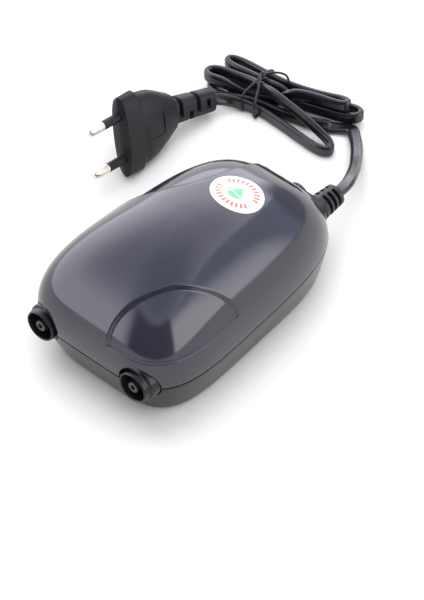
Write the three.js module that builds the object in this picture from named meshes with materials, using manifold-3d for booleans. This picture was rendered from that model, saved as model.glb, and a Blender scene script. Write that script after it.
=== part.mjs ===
// Aquarium air pump with two outlets, an airflow knob and a mains lead.
//
// Units are millimetres. +Z is up, the outlets face -Y and the lead leaves towards +Y.
// The origin is on the resting plane, under the middle of the pump (its lead not counted).
// The case is a flat-sided egg: a bottom shell with a raised rear panel, and a domed cover.
// Inside, an electromagnet swings two magnet arms, and each arm works a rubber diaphragm.

import * as THREE from 'three';
import { mergeVertices } from 'three/addons/utils/BufferGeometryUtils.js';
import Module from 'manifold-3d';

const wasm = await Module();
wasm.setup();

// ---------------------------------------------------------------- driving dimensions

const GAP = 0.3;                    // clearance between neighbouring pieces
const WALL = 2.2;                   // case wall

const BODY = {
  halfWidth: 37.5,                  // at mid length
  halfLength: 59.9,
  frontExponent: 4.1,               // squareness of the plan outline
  rearExponent: 3.5,
  taper: 0.116,                     // the plan is wider at the front, narrower at the rear
};
const PARTING_Z = 21.2;             // where the cover meets the bottom shell
const DOME = { height: 38.2, exponent: 2.16, lean: -5.8, topExponent: 2.3, easing: 5 };
const TUB = { depth: 21.2, inset: 6.8, exponent: 1.12, frontExponent: 4.3, rearExponent: 4.2, shift: 2.2 };
const FLOOR_Z = 2.2;                // underside of the bottom shell
const FLOOR_THICKNESS = 2.4;
const OUTLINE_STEPS = 48;

// The raised panel at the rear of the bottom shell, which carries the knob and the lead.
const REAR_PANEL = {
  halfWidth: 20.5,
  footHalfWidth: 17,                // at its lower edge
  bottom: 12.5,
  shoulder: 15.5,                   // height where it reaches its full width
  top: 27.8,
  outer: 60.6,
  thickness: 3.2,
  flange: 54.5,                     // where its sides end inside the case
  planRadius: 6,                    // of its upright edges
  topRadius: 4,                     // of its upper corners
};

const OUTLET = { x: 24.4, z: 22.1, front: -61.3, cupRadius: 6.8, cupBore: 5.9, shoulderRadius: 7.2 };
const OUTLET_HOLE_RADIUS = 8.2;

const KNOB = { z: 20.5, radius: 5.2, start: 60.9, end: 64.2, ribs: 18 };
const SPINDLE_RADIUS = 2;

const LEAD_EXIT = { x: 11.9, z: 21.2 };
const LEAD_RELIEF_END = 73;
const LEAD_RADIUS = 1.8;

const SCREWS = [[-12, -45], [12, -45], [-22, 40], [22, 40]];
const FEET = [[-22, -37], [22, -37], [-15.5, 45.5], [15.5, 45.5]];
const FILTER = { y: -30, radius: 11 };

const MAGNETIC_CENTRE_Z = 22;       // mid height of the core, the coil, the magnets and the diaphragms
const CORE = { stack: 16, halfWidth: 14, yokeFront: 12, yokeRear: 18, legEnd: -8, centreLeg: 4, legInner: 9.5 };
const ARM = { x: 20, thickness: 3, height: 14, rear: 23, front: -16.6, footRear: -14.1 };
const MAGNET = { inner: 2.5, outer: 11.5, front: -13.8, rear: -9.8, height: 13 };
const CHAMBER = { radius: 10.5, inner: 26.3, outer: 32.4, bore: 8.3, boreDepth: 5.4 };
const SPOUT = { x: 29.5, radius: 1.9, end: -15.5 };

const HANK = { bottom: 1.4, top: 13.2 };
const HANK_TIE = { x: -61, y: 110.8, radius: 8.2 };
const HANK_LEFT = { x: -76.8, y: 108.8, radius: 9 };
const HANK_LOBE_NEAR = { x: -23.4, y: 105.2, radius: 5.4 };
const HANK_LOBE_FAR = { x: -27.5, y: 126.6, radius: 6.4 };

const PLUG = {
  face: [-76.2, 40.3, 19.0],        // centre of the face that carries the pins
  pinDirection: [0.047, -0.974, 0.221],
  wideDirection: [0.314, -0.196, -0.929],
  pinSpacing: 18.6,
  pinLength: 19,
  sleeveLength: 10,
  bodyLength: 38,
};
const PLUG_RELIEF_END = [-73.5, 92.4, 6.9];

// The pump is moved by this along Y, so that the outlets and the knob are equally far from the origin.
const CENTRING_Y = -(KNOB.end + OUTLET.front) / 2;

// ---------------------------------------------------------------- materials

function material(color, roughness, metalness = 0) {
  return () => new THREE.MeshStandardMaterial({ color, roughness, metalness });
}

const glossyCover = material(0x3d3e4a, 0.18);
const satinShell = material(0x2b2b2e, 0.42);
const blackRubber = material(0x161617, 0.7);
const blackPlastic = material(0x1a1a1c, 0.45);
const cordJacket = material(0x101011, 0.28);
const brightMetal = material(0xd8d8d4, 0.2, 1);
const zincSteel = material(0xa9abad, 0.38, 1);
const siliconSteel = material(0x55585c, 0.5, 1);
const copperWire = material(0xb0622d, 0.35, 1);
const ferrite = material(0x2f3032, 0.6);
const whitePlastic = material(0xd9d9d2, 0.5);
const greyPlastic = material(0x8b8d90, 0.5);
const labelFilm = material(0xf2f3ee, 0.35);
const feltGrey = material(0xbfc0b8, 0.95);
const clearHose = material(0xcfd6d8, 0.3);
const leadInsulation = material(0x6a3a1c, 0.5);

// ---------------------------------------------------------------- geometry helpers

// Turns every face outwards.
function outward(geometry) {
  const g = mergeVertices(stripped(geometry), 1e-4);
  const p = g.attributes.position;
  const index = Array.from(g.index.array);
  const a = new THREE.Vector3();
  const b = new THREE.Vector3();
  const c = new THREE.Vector3();
  let volume = 0;
  for (let i = 0; i < index.length; i += 3) {
    a.fromBufferAttribute(p, index[i]);
    b.fromBufferAttribute(p, index[i + 1]);
    c.fromBufferAttribute(p, index[i + 2]);
    volume += a.dot(b.cross(c));
  }
  if (volume < 0) {
    for (let i = 0; i < index.length; i += 3) {
      [index[i + 1], index[i + 2]] = [index[i + 2], index[i + 1]];
    }
  }
  g.setIndex(index);
  return g;
}

function stripped(geometry) {
  const g = geometry.clone();
  g.deleteAttribute('normal');
  g.deleteAttribute('uv');
  return g;
}

function toSolid(geometry) {
  const g = outward(geometry);
  return new wasm.Manifold(new wasm.Mesh({
    numProp: 3,
    vertProperties: new Float32Array(g.attributes.position.array),
    triVerts: new Uint32Array(g.index.array),
  }));
}

function toGeometry(solid) {
  const mesh = solid.getMesh();
  const g = new THREE.BufferGeometry();
  g.setAttribute('position', new THREE.BufferAttribute(new Float32Array(mesh.vertProperties), mesh.numProp));
  g.setIndex(new THREE.BufferAttribute(new Uint32Array(mesh.triVerts), 1));
  g.computeVertexNormals();
  return g;
}

// Joins the first geometry with the others.
function join(geometry, ...others) {
  const start = toSolid(geometry);
  return toGeometry(others.reduce((sum, g) => sum.add(toSolid(g)), start));
}

// Cuts the others from the first geometry.
function cut(geometry, ...others) {
  const start = toSolid(geometry);
  return toGeometry(others.reduce((rest, g) => rest.subtract(toSolid(g)), start));
}

function common(first, second) {
  return toGeometry(toSolid(first).intersect(toSolid(second)));
}

function box(x, y, z) {
  return new THREE.BoxGeometry(x[1] - x[0], y[1] - y[0], z[1] - z[0])
    .translate((x[0] + x[1]) / 2, (y[0] + y[1]) / 2, (z[0] + z[1]) / 2);
}

// A body of revolution about Y. The profile lists [radius, y] and closes on itself or on the axis.
function turnedY(profile, steps = 18) {
  return outward(new THREE.LatheGeometry(profile.map(([r, y]) => new THREE.Vector2(r, y)), steps));
}

function turnedZ(profile, steps = 18) {
  return turnedY(profile, steps).rotateX(Math.PI / 2);
}

// About X, with the profile's second number counted along +X.
function turnedX(profile, steps = 18) {
  return turnedY(profile, steps).rotateZ(-Math.PI / 2);
}

function rod(radius, from, to) {
  return [[0, from], [radius, from], [radius, to], [0, to]];
}

function ringProfile(inner, outer, from, to) {
  return [[inner, from], [outer, from], [outer, to], [inner, to], [inner, from]];
}

// A closed solid through a stack of outlines with equal point counts.
function loft(rings, endPoint = null) {
  const count = rings[0].length;
  const points = rings.flat();
  const centre = (ring) => ring.reduce((sum, v) => sum.add(v), new THREE.Vector3()).divideScalar(count);
  points.push(centre(rings[0]));
  points.push(endPoint ?? centre(rings[rings.length - 1]));
  const first = points.length - 2;
  const last = points.length - 1;
  const index = [];
  for (let i = 0; i < count; i += 1) {
    const next = (i + 1) % count;
    index.push(first, next, i);
    for (let ring = 0; ring < rings.length - 1; ring += 1) {
      const low = ring * count;
      const high = low + count;
      index.push(low + i, low + next, high + next);
      index.push(low + i, high + next, high + i);
    }
    const top = (rings.length - 1) * count;
    index.push(top + i, top + next, last);
  }
  const g = new THREE.BufferGeometry();
  g.setAttribute('position', new THREE.Float32BufferAttribute(points.flatMap((v) => v.toArray()), 3));
  g.setIndex(index);
  return outward(g);
}

// A tube or rod of an outer radius (and an optional bore) along a smooth curve.
function tube(points, radius, { bore = 0, sides = 8, steps = 16 } = {}) {
  const curve = new THREE.CatmullRomCurve3(points.map((p) => new THREE.Vector3(...p)));
  const section = new THREE.Shape();
  section.absarc(0, 0, radius, 0, 2 * Math.PI);
  if (bore > 0) {
    const hole = new THREE.Path();
    hole.absarc(0, 0, bore, 0, 2 * Math.PI, true);
    section.holes.push(hole);
  }
  return outward(new THREE.ExtrudeGeometry(section, { steps, curveSegments: sides / 2, extrudePath: curve }));
}

// ---------------------------------------------------------------- the case's surfaces

// One outline of the body: a tapered superellipse, squarer at the front than at the rear.
function bodyOutline({ scale = 1, inset = 0, z, shift = 0, front = BODY.frontExponent, rear = BODY.rearExponent }) {
  const ring = [];
  for (let i = 0; i < OUTLINE_STEPS; i += 1) {
    const angle = (2 * Math.PI * i) / OUTLINE_STEPS;
    const c = Math.cos(angle);
    const s = Math.sin(angle);
    const n = s < 0 ? front : rear;
    const reach = (Math.abs(c) ** n + Math.abs(s) ** n) ** (-1 / n);
    const x = c * reach * (1 - BODY.taper * s * reach) * (BODY.halfWidth - inset) * scale;
    const y = s * reach * (BODY.halfLength - inset) * scale + shift;
    ring.push(new THREE.Vector3(x, y, z));
  }
  return ring;
}

// The dome's level lines get rounder towards its top: the plan exponent at a rise of 0 to 1.
function domeExponent(exponent, rise) {
  return exponent + (DOME.topExponent - exponent) * rise ** DOME.easing;
}

// The domed cover's surface as a solid, moved outwards by an offset, standing on z = base.
function dome(offset, base = PARTING_Z + GAP / 2, steps = 9) {
  const height = DOME.height + offset;
  const rings = [bodyOutline({ inset: -offset, z: base })];
  for (let i = 1; i < steps; i += 1) {
    const t = (Math.PI / 2) * (i / steps);
    const rise = Math.sin(t) ** (2 / DOME.exponent);
    rings.push(bodyOutline({
      scale: Math.cos(t) ** (2 / DOME.exponent),
      inset: -offset,
      z: PARTING_Z + height * rise,
      shift: DOME.lean * rise,
      front: domeExponent(BODY.frontExponent, rise),
      rear: domeExponent(BODY.rearExponent, rise),
    }));
  }
  return loft(rings, new THREE.Vector3(0, DOME.lean, PARTING_Z + height));
}

// The bottom shell's outer surface from the parting plane down to z = FLOOR_Z, moved inwards.
function tub(inset, floor, top = PARTING_Z - GAP / 2, steps = 5) {
  const rings = [bodyOutline({ inset, z: top })];
  for (let i = 1; i <= steps; i += 1) {
    const z = PARTING_Z - (PARTING_Z - floor) * Math.sin((Math.PI / 2) * (i / steps));
    const drop = (PARTING_Z - z) / TUB.depth;
    const k = 1 - (1 - drop ** TUB.exponent) ** (1 / TUB.exponent);
    rings.push(bodyOutline({
      inset: inset + TUB.inset * k,
      z,
      shift: TUB.shift * k,
      front: BODY.frontExponent + (TUB.frontExponent - BODY.frontExponent) * k,
      rear: BODY.rearExponent + (TUB.rearExponent - BODY.rearExponent) * k,
    }));
  }
  return loft(rings);
}

// The point of the dome above (x, y), and its outward normal.
function domePoint(x, y) {
  const height = (px, py) => {
    let low = 0;
    let high = Math.PI / 2;
    for (let i = 0; i < 40; i += 1) {
      const t = (low + high) / 2;
      const rise = Math.sin(t) ** (2 / DOME.exponent);
      const scale = Math.cos(t) ** (2 / DOME.exponent);
      const v = (py - DOME.lean * rise) / (BODY.halfLength * scale);
      const u = px / (BODY.halfWidth * scale * (1 - BODY.taper * v));
      const n = domeExponent(v < 0 ? BODY.frontExponent : BODY.rearExponent, rise);
      const inside = Math.abs(u) ** n + Math.abs(v) ** n < 1;
      if (inside) low = t;
      else high = t;
    }
    return PARTING_Z + DOME.height * Math.sin(low) ** (2 / DOME.exponent);
  };
  const step = 0.5;
  const slopeX = (height(x + step, y) - height(x - step, y)) / (2 * step);
  const slopeY = (height(x, y + step) - height(x, y - step)) / (2 * step);
  return {
    point: new THREE.Vector3(x, y, height(x, y)),
    normal: new THREE.Vector3(-slopeX, -slopeY, 1).normalize(),
  };
}

// A corner panel's outline as a prism: flat below, arched above. It runs out along a diagonal.
// across is counted along the other diagonal, and half of the arch may be leaner than the other.
function panelPrism({ across, halfWidth, height, base, leanExponent, direction }) {
  const steps = 20;
  const arch = new THREE.Shape();
  arch.moveTo(across - halfWidth, 0);
  for (let i = 1; i < steps; i += 1) {
    const angle = Math.PI * (1 - i / steps);
    const n = i < steps / 2 ? 2 : leanExponent;
    const u = Math.sign(Math.cos(angle)) * Math.abs(Math.cos(angle)) ** (2 / n);
    arch.lineTo(across + halfWidth * u, height * Math.sin(angle) ** (2 / n));
  }
  arch.lineTo(across + halfWidth, 0);
  arch.closePath();
  const prism = new THREE.ExtrudeGeometry(arch, { depth: 80, bevelEnabled: false });
  // Stand the arch up: its width runs along (1, 1, 0), its height along Z.
  const width = new THREE.Vector3(1, 1, 0).normalize();
  const up = new THREE.Vector3(0, 0, 1);
  const out = new THREE.Vector3().crossVectors(width, up);
  prism.translate(0, 0, direction > 0 ? 0 : -80);
  prism.applyMatrix4(new THREE.Matrix4().makeBasis(width, up, out));
  return prism.translate(0, 0, base);
}

const FRONT_PANEL = { across: -9.4, halfWidth: 26, height: 20.3, base: 33.2, leanExponent: 1.5, direction: 1 };
const BACK_PANEL = { across: 0, halfWidth: 30, height: 24.3, base: 33.2, leanExponent: 2, direction: -1 };
const PANEL_DEPTH = 1.1;

// ---------------------------------------------------------------- assembly

const airPump = new THREE.Group();
airPump.name = 'aquarium_air_pump';
const pump = new THREE.Group();
pump.position.y = CENTRING_Y;
airPump.add(pump);

function add(name, geometry, makeMaterial, parent = pump) {
  const mesh = new THREE.Mesh(outward(geometry), makeMaterial());
  mesh.name = name;
  parent.add(mesh);
  return mesh;
}

const SIDES = [['left', -1], ['right', 1]];

// ---------------------------------------------------------------- case

function outletHole(side, from, to) {
  return turnedY(rod(OUTLET_HOLE_RADIUS, from, to), 24).translate(side * OUTLET.x, 0, OUTLET.z);
}

const outletHoles = SIDES.map(([, side]) => outletHole(side, -70, -48));

function addCover() {
  const POST_RADIUS = 3.5;
  const inside = dome(-WALL, PARTING_Z - 1);
  const skin = dome(-PANEL_DEPTH, PARTING_Z - 1);
  const recesses = [FRONT_PANEL, BACK_PANEL].map((panel) => cut(panelPrism(panel), skin));
  const { halfWidth, top } = REAR_PANEL;
  const rearOpening = box([-halfWidth - GAP, halfWidth + GAP], [50, 70], [10, top + GAP]);
  const shell = cut(dome(0), inside, rearOpening, ...recesses, ...outletHoles);
  const posts = SCREWS.map(([x, y]) => {
    const post = turnedZ(rod(POST_RADIUS, PARTING_Z + GAP, 58)).translate(x, y, 0);
    const hole = turnedZ(rod(1.7, 10, 32), 10).translate(x, y, 0);
    return cut(common(post, dome(-WALL / 2)), hole);
  });
  add('top_cover', join(shell, ...posts), glossyCover);
}

// A symmetric outline from low to high, narrower at its foot, whose two high corners are rounded.
function roundTopped({ halfWidth, low, high, radius, foot = halfWidth, shoulder = low }) {
  const outline = new THREE.Shape();
  outline.moveTo(-foot, low);
  outline.lineTo(foot, low);
  if (shoulder > low) outline.lineTo(halfWidth, shoulder);
  outline.lineTo(halfWidth, high - radius);
  outline.absarc(halfWidth - radius, high - radius, radius, 0, Math.PI / 2);
  outline.absarc(radius - halfWidth, high - radius, radius, Math.PI / 2, Math.PI);
  if (shoulder > low) outline.lineTo(-halfWidth, shoulder);
  outline.closePath();
  return outline;
}

// The rear panel: solid up to the parting plane and a wall above it, round-cornered in plan and from behind.
function rearPanel() {
  const { halfWidth, footHalfWidth, bottom, shoulder, top } = REAR_PANEL;
  const { outer, thickness, flange, planRadius, topRadius } = REAR_PANEL;
  const LENGTH = 80;
  const extrude = (shape) => new THREE.ExtrudeGeometry(shape, { depth: LENGTH, bevelEnabled: false, curveSegments: 5 });
  const outside = extrude(roundTopped({ halfWidth, low: flange, high: outer, radius: planRadius }));
  const inside = extrude(roundTopped({
    halfWidth: halfWidth - thickness,
    low: 0,
    high: outer - thickness,
    radius: planRadius - thickness,
  })).translate(0, 0, PARTING_Z - GAP);
  const elevation = extrude(roundTopped({
    halfWidth,
    low: bottom,
    high: top,
    radius: topRadius,
    foot: footHalfWidth,
    shoulder,
  })).rotateX(Math.PI / 2).translate(0, LENGTH, 0);
  return common(cut(outside, inside), elevation);
}

function addBottomShell() {
  const BOSS_RADIUS = 3.6;
  const floorTop = FLOOR_Z + FLOOR_THICKNESS;
  const bosses = SCREWS.map(([x, y]) => turnedZ(rod(BOSS_RADIUS, 3, PARTING_Z - GAP), 14).translate(x, y, 0));
  const walls = cut(join(tub(0, FLOOR_Z), rearPanel()), tub(WALL, floorTop, PARTING_Z + 1));
  const body = join(walls, ...bosses);
  const screwHoles = SCREWS.map(([x, y]) => turnedZ(rod(1.7, 0, 30), 10).translate(x, y, 0));
  const counterbores = SCREWS.map(([x, y]) => turnedZ(rod(3.2, 0, 6.6), 14).translate(x, y, 0));
  const footSeats = FEET.map(([x, y]) => turnedZ(rod(5.8, 0, 3.3), 16).translate(x, y, 0));
  const filterHole = turnedZ([[0, 0], [13.3, 0], [13.3, 3.8], [FILTER.radius, 3.8], [FILTER.radius, 9], [0, 9]])
    .translate(0, FILTER.y, 0);
  const spindleHole = turnedY(rod(SPINDLE_RADIUS + 0.4, 50, 70), 14).translate(0, 0, KNOB.z);
  const leadHole = turnedY(rod(3.9, 50, 70), 14).translate(LEAD_EXIT.x, 0, LEAD_EXIT.z);
  add('bottom_shell', cut(body, ...screwHoles, ...counterbores, ...footSeats, filterHole, spindleHole,
    leadHole, ...outletHoles), satinShell);
}

function addCaseScrews() {
  SCREWS.forEach(([x, y], i) => {
    const profile = [[0, 4.2], [2.4, 4.2], [2.8, 4.6], [2.8, 6.3], [1.4, 6.3], [1.4, 28.5], [0, 30]];
    add(`case_screw_${i + 1}`, turnedZ(profile, 10).translate(x, y, 0), zincSteel);
  });
}

function addFeet() {
  FEET.forEach(([x, y], i) => {
    const profile = [[0, 0], [4.6, 0], [5.1, 0.5], [5.5, 3], [0, 3]];
    add(`rubber_foot_${i + 1}`, turnedZ(profile, 16).translate(x, y, 0), blackRubber);
  });
}

function addLabel() {
  const RADIUS = 11;
  const { point, normal } = domePoint(6.2, 19.4);
  const punch = turnedY(rod(RADIUS, -8, 8), 24);
  punch.applyQuaternion(new THREE.Quaternion().setFromUnitVectors(new THREE.Vector3(0, 1, 0), normal));
  punch.translate(point.x, point.y, point.z);
  add('name_label', common(cut(dome(0.7), dome(GAP, PARTING_Z - 1)), punch), labelFilm);
}

function addAirFilter() {
  const SLOTS = 5;
  const SLOT_PITCH = 3.6;
  const slots = [];
  for (let i = 0; i < SLOTS; i += 1) {
    const x = (i - (SLOTS - 1) / 2) * SLOT_PITCH;
    const half = Math.sqrt(9.5 ** 2 - x ** 2);
    slots.push(box([x - 0.8, x + 0.8], [FILTER.y - half, FILTER.y + half], [0, 9]));
  }
  const cover = turnedZ(rod(13, FLOOR_Z, 3.5), 24).translate(0, FILTER.y, 0);
  add('air_filter_cover', cut(cover, ...slots), blackPlastic);
  add('air_filter_felt', turnedZ(rod(FILTER.radius - GAP, 3.8, 6.6), 20).translate(0, FILTER.y, 0), feltGrey);
}

// ---------------------------------------------------------------- outlets and airflow knob

function addOutlets() {
  const { front, cupRadius, cupBore, shoulderRadius } = OUTLET;
  const web = front + 6.3;
  SIDES.forEach(([word, side]) => {
    const grommet = [
      [cupBore, front + 0.3], [cupBore + 0.3, front], [cupRadius - 0.4, front], [cupRadius, front + 0.4],
      [cupRadius, -56], [shoulderRadius, -56], [shoulderRadius, -48], [2.8, -48], [2.8, web], [cupBore, web],
      [cupBore, front + 0.3],
    ];
    const nozzle = [
      [1.1, front + 0.4], [2.2, front + 0.4], [2.45, front + 0.9], [2.45, -47.7], [1.9, -47.7], [1.9, -41],
      [1.1, -41], [1.1, front + 0.4],
    ];
    add(`outlet_grommet_${word}`, turnedY(grommet, 24).translate(side * OUTLET.x, 0, OUTLET.z), blackRubber);
    add(`outlet_nozzle_${word}`, turnedY(nozzle, 14).translate(side * OUTLET.x, 0, OUTLET.z), blackPlastic);
  });
}

function addAirflowKnob() {
  const { radius, start, end, ribs, z } = KNOB;
  const outline = new THREE.Shape();
  const points = [];
  for (let i = 0; i < ribs * 2; i += 1) {
    const angle = (Math.PI * i) / ribs;
    const r = i % 2 === 0 ? radius : radius - 0.5;
    points.push(new THREE.Vector2(r * Math.cos(angle), r * Math.sin(angle)));
  }
  outline.setFromPoints(points);
  const rim = new THREE.ExtrudeGeometry(outline, { depth: end - start, bevelEnabled: false })
    .rotateX(Math.PI / 2)
    .translate(0, end, 0);
  const pointer = box([-0.4, 0.4], [end - 0.5, end + 1], [1.5, 4.5]);
  add('airflow_knob', cut(rim, pointer).translate(0, 0, z), blackPlastic);
  add('regulator_spindle', turnedY(rod(SPINDLE_RADIUS, 49, start - GAP), 14).translate(0, 0, z), zincSteel);
  const housing = box([-6, 6], [46.5, 55.6], [14.5, 27]);
  const bore = turnedY(rod(SPINDLE_RADIUS + 0.4, 48.5, 60), 14).translate(0, 0, z);
  add('regulator_body', cut(housing, bore), greyPlastic);
}

// ---------------------------------------------------------------- electromagnet

function addElectromagnet() {
  const { stack, halfWidth, yokeFront, yokeRear, legEnd, centreLeg, legInner } = CORE;
  const z = MAGNETIC_CENTRE_Z;
  const stackZ = [z - stack / 2, z + stack / 2];
  const screwX = (legInner + halfWidth) / 2;
  const screwY = (yokeFront + yokeRear) / 2;

  const yoke = box([-halfWidth, halfWidth], [yokeFront, yokeRear], stackZ);
  const legs = [
    box([-halfWidth, -legInner], [legEnd, yokeFront + 1], stackZ),
    box([-centreLeg, centreLeg], [legEnd, yokeFront + 1], stackZ),
    box([legInner, halfWidth], [legEnd, yokeFront + 1], stackZ),
  ];
  const coreHoles = [-1, 1].map((side) => turnedZ(rod(1.6, 0, 40), 10).translate(side * screwX, screwY, 0));
  add('stator_core', cut(join(yoke, ...legs), ...coreHoles), siliconSteel);

  const tubeX = centreLeg + GAP;
  const tubeZ = stack / 2 + GAP;
  const skin = 0.8;
  const flangeX = 9.1;
  const flangeZ = tubeZ + 4.6;
  const rear = yokeFront - GAP;
  const front = legEnd + 0.6;
  const block = (x, zHalf, y) => box([-x, x], y, [z - zHalf, z + zHalf]);
  const legHole = block(tubeX, tubeZ, [front - 5, rear + 5]);
  const bobbinTube = block(tubeX + skin, tubeZ + skin, [front, rear]);
  const flanges = [[front, front + skin], [rear - skin, rear]].map((y) => block(flangeX, flangeZ, y));
  add('coil_bobbin', cut(join(bobbinTube, ...flanges), legHole), whitePlastic);

  const windingY = [front + skin + GAP, rear - skin - GAP];
  const winding = cut(
    block(flangeX - 0.4, flangeZ - 0.5, windingY),
    block(tubeX + skin + GAP, tubeZ + skin + GAP, [front - 5, rear + 5]),
  );
  add('coil_winding', winding, copperWire);

  const plate = box([-17, 17], [-7, 20], [5.2, 6.8]);
  const pillars = [[-screwX, screwY], [screwX, screwY], [-screwX, -4], [screwX, -4]]
    .map(([x, y]) => turnedZ(rod(2.2, 6, stackZ[0] - GAP), 12).translate(x, y, 0));
  const threads = [-1, 1].map((side) => turnedZ(rod(1.6, 0, 30), 10).translate(side * screwX, screwY, 0));
  add('stator_bracket', cut(join(plate, ...pillars), ...threads), zincSteel);

  [-1, 1].forEach((side, i) => {
    const head = stackZ[1] + GAP;
    const profile = [[0, 7.5], [1.3, 7.5], [1.3, head], [2.6, head], [2.6, head + 1.6], [0, head + 1.6]];
    add(`core_screw_${i + 1}`, turnedZ(profile, 10).translate(side * screwX, screwY, 0), zincSteel);
  });
}

// Two insulated wires from the lead to the coil's rear flange.
function addCoilLeads() {
  const y = CORE.yokeRear + GAP;
  [[-4, 33.5], [4, 33.5]].forEach(([x, z], i) => {
    const route = [
      [LEAD_EXIT.x - 1.5 + i * 3, 50.4, LEAD_EXIT.z],
      [11 + i * 3, 46, 27 + i * 3],
      [6 + i * 3, 34, 34],
      [x, y + 4, z + 2.5],
      [x, 12.6, z + 0.6],
    ];
    add(`coil_lead_${i + 1}`, tube(route, 0.7, { sides: 6, steps: 9 }), leadInsulation);
  });
}

// ---------------------------------------------------------------- swinging arms and air chambers

function addArm(word, side) {
  const { x, thickness, height, rear, front, footRear } = ARM;
  const z = [MAGNETIC_CENTRE_Z - height / 2, MAGNETIC_CENTRE_Z + height / 2];
  const sorted = (a, b) => [Math.min(a, b), Math.max(a, b)];
  const bar = box(sorted(side * (x - thickness / 2), side * (x + thickness / 2)), [front, rear], z);
  const foot = box(sorted(side * MAGNET.inner, side * x), [front, footRear], z);
  add(`swing_arm_${word}`, join(bar, foot), whitePlastic);

  const magnetZ = [MAGNETIC_CENTRE_Z - MAGNET.height / 2, MAGNETIC_CENTRE_Z + MAGNET.height / 2];
  const magnetX = sorted(side * MAGNET.inner, side * MAGNET.outer);
  add(`arm_magnet_${word}`, box(magnetX, [MAGNET.front, MAGNET.rear], magnetZ), ferrite);

  const mount = box(sorted(side * 16.5, side * 23.5), [rear + 0.6, rear + 9], [FLOOR_Z + FLOOR_THICKNESS + GAP, 31]);
  add(`arm_mount_${word}`, mount, blackRubber);
}

// Profiles count outwards from the pump's middle, and are mirrored for the left side.
function addChamber(word, side) {
  const { radius, inner, outer, bore, boreDepth } = CHAMBER;
  const sideways = (profile, steps) => {
    const mirrored = profile.map(([r, x]) => [r, side * x]);
    return turnedX(mirrored, steps).translate(0, 0, MAGNETIC_CENTRE_Z);
  };
  const armFace = ARM.x + ARM.thickness / 2;
  const disc = rod(4.5, armFace + GAP, armFace + 1.3);
  add(`diaphragm_washer_${word}`, sideways(disc, 16), brightMetal);

  const start = armFace + 1.6;
  const bellows = [
    [0, start], [5, start], [5.6, start + 0.9], [7.2, start + 0.3], [8.4, start + 1.4], [10.2, start + 1.6],
    [10.2, inner - GAP], [8, inner - GAP], [7.2, start + 1.5], [5.6, inner - GAP], [0, inner - GAP],
  ];
  add(`diaphragm_${word}`, sideways(bellows, 20), blackRubber);

  const cup = [
    [0, outer], [radius, outer], [radius, inner], [bore, inner], [bore, inner + boreDepth], [0, inner + boreDepth],
  ];
  const spout = turnedY(rod(SPOUT.radius, SPOUT.end, -9), 12).translate(side * SPOUT.x, 0, MAGNETIC_CENTRE_Z);
  const airway = turnedY(rod(1, SPOUT.end - 1, -7), 8).translate(side * SPOUT.x, 0, MAGNETIC_CENTRE_Z);
  add(`pump_chamber_${word}`, cut(join(sideways(cup, 22), spout), airway), greyPlastic);

  const seatFront = inner + boreDepth - 2.6;
  const ports = [-3, 3].map((y) => turnedX(rod(1, -40, 40), 8).translate(0, y, MAGNETIC_CENTRE_Z));
  const seat = cut(sideways(rod(bore - GAP, seatFront, inner + boreDepth - GAP), 18), ...ports);
  add(`valve_plate_${word}`, seat, whitePlastic);
  const flap = box([-0.3, 0.3], [-5.2, 5.2], [-2.2, 2.2])
    .translate(side * (seatFront - GAP - 0.3), 0, MAGNETIC_CENTRE_Z);
  add(`flap_valve_${word}`, flap, blackRubber);
}

function addHose(word, side) {
  const z = MAGNETIC_CENTRE_Z;
  const route = [
    [side * SPOUT.x, -11.2, z],
    [side * SPOUT.x, -15, z],
    [side * 29, -22, z],
    [side * 26.5, -32, z],
    [side * 24.6, -40, OUTLET.z],
    [side * OUTLET.x, -47.2, OUTLET.z],
  ];
  add(`air_hose_${word}`, tube(route, 3.3, { bore: 2.3, sides: 10, steps: 9 }), clearHose);
}

// ---------------------------------------------------------------- mains lead

function addLeadRelief() {
  const RIBS = 4;
  const RIB_PITCH = 2.7;
  const profile = [[0, 51.2], [5.2, 51.2], [5.2, 53.6], [3.6, 53.6], [3.6, REAR_PANEL.outer + GAP]];
  for (let i = 0; i < RIBS; i += 1) {
    const y = REAR_PANEL.outer + GAP + i * RIB_PITCH;
    const radius = 5.5 - 0.42 * i;
    profile.push([radius, y], [radius - 0.1, y + 1.7], [radius - 1.3, y + 1.9], [radius - 1.4, y + RIB_PITCH]);
  }
  profile.push([2.8, LEAD_RELIEF_END], [0, LEAD_RELIEF_END]);
  add('lead_strain_relief', turnedY(profile, 16).translate(LEAD_EXIT.x, 0, LEAD_EXIT.z), blackRubber);
}

// The lead between the pump and the hank, and between the hank and the plug. Hand-placed points.
const LEAD_TO_HANK = [
  [11.9, 73.3, 21.2], [11.6, 77.2, 20.9], [10.4, 81.4, 19.8], [8.2, 86.0, 18.0], [5.4, 90.8, 15.5],
  [2.2, 95.8, 12.7], [-1.4, 100.8, 9.8], [-5.2, 105.8, 7.1], [-9.2, 110.8, 4.9], [-13.2, 115.2, 3.4],
  [-17.2, 118.8, 2.7], [-20.4, 121.2, 2.6],
];
const HANK_TO_PLUG = [
  [-68.0, 98.3, 4.9], [-69.6, 97.1, 5.5], [-71.4, 95.3, 6.1], [-73.1, 93.1, 6.7],
];

// The outline around two circles, as a shape in plan.
function capsule(a, b) {
  const along = Math.atan2(b.y - a.y, b.x - a.x);
  const distance = Math.hypot(b.x - a.x, b.y - a.y);
  const tangent = Math.acos((a.radius - b.radius) / distance);
  const shape = new THREE.Shape();
  shape.absarc(a.x, a.y, a.radius, along + tangent, along - tangent + 2 * Math.PI);
  shape.absarc(b.x, b.y, b.radius, along - tangent, along + tangent);
  shape.closePath();
  return new THREE.ExtrudeGeometry(shape, { depth: HANK.top - HANK.bottom, bevelEnabled: false, curveSegments: 6 })
    .translate(0, 0, HANK.bottom);
}

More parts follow.
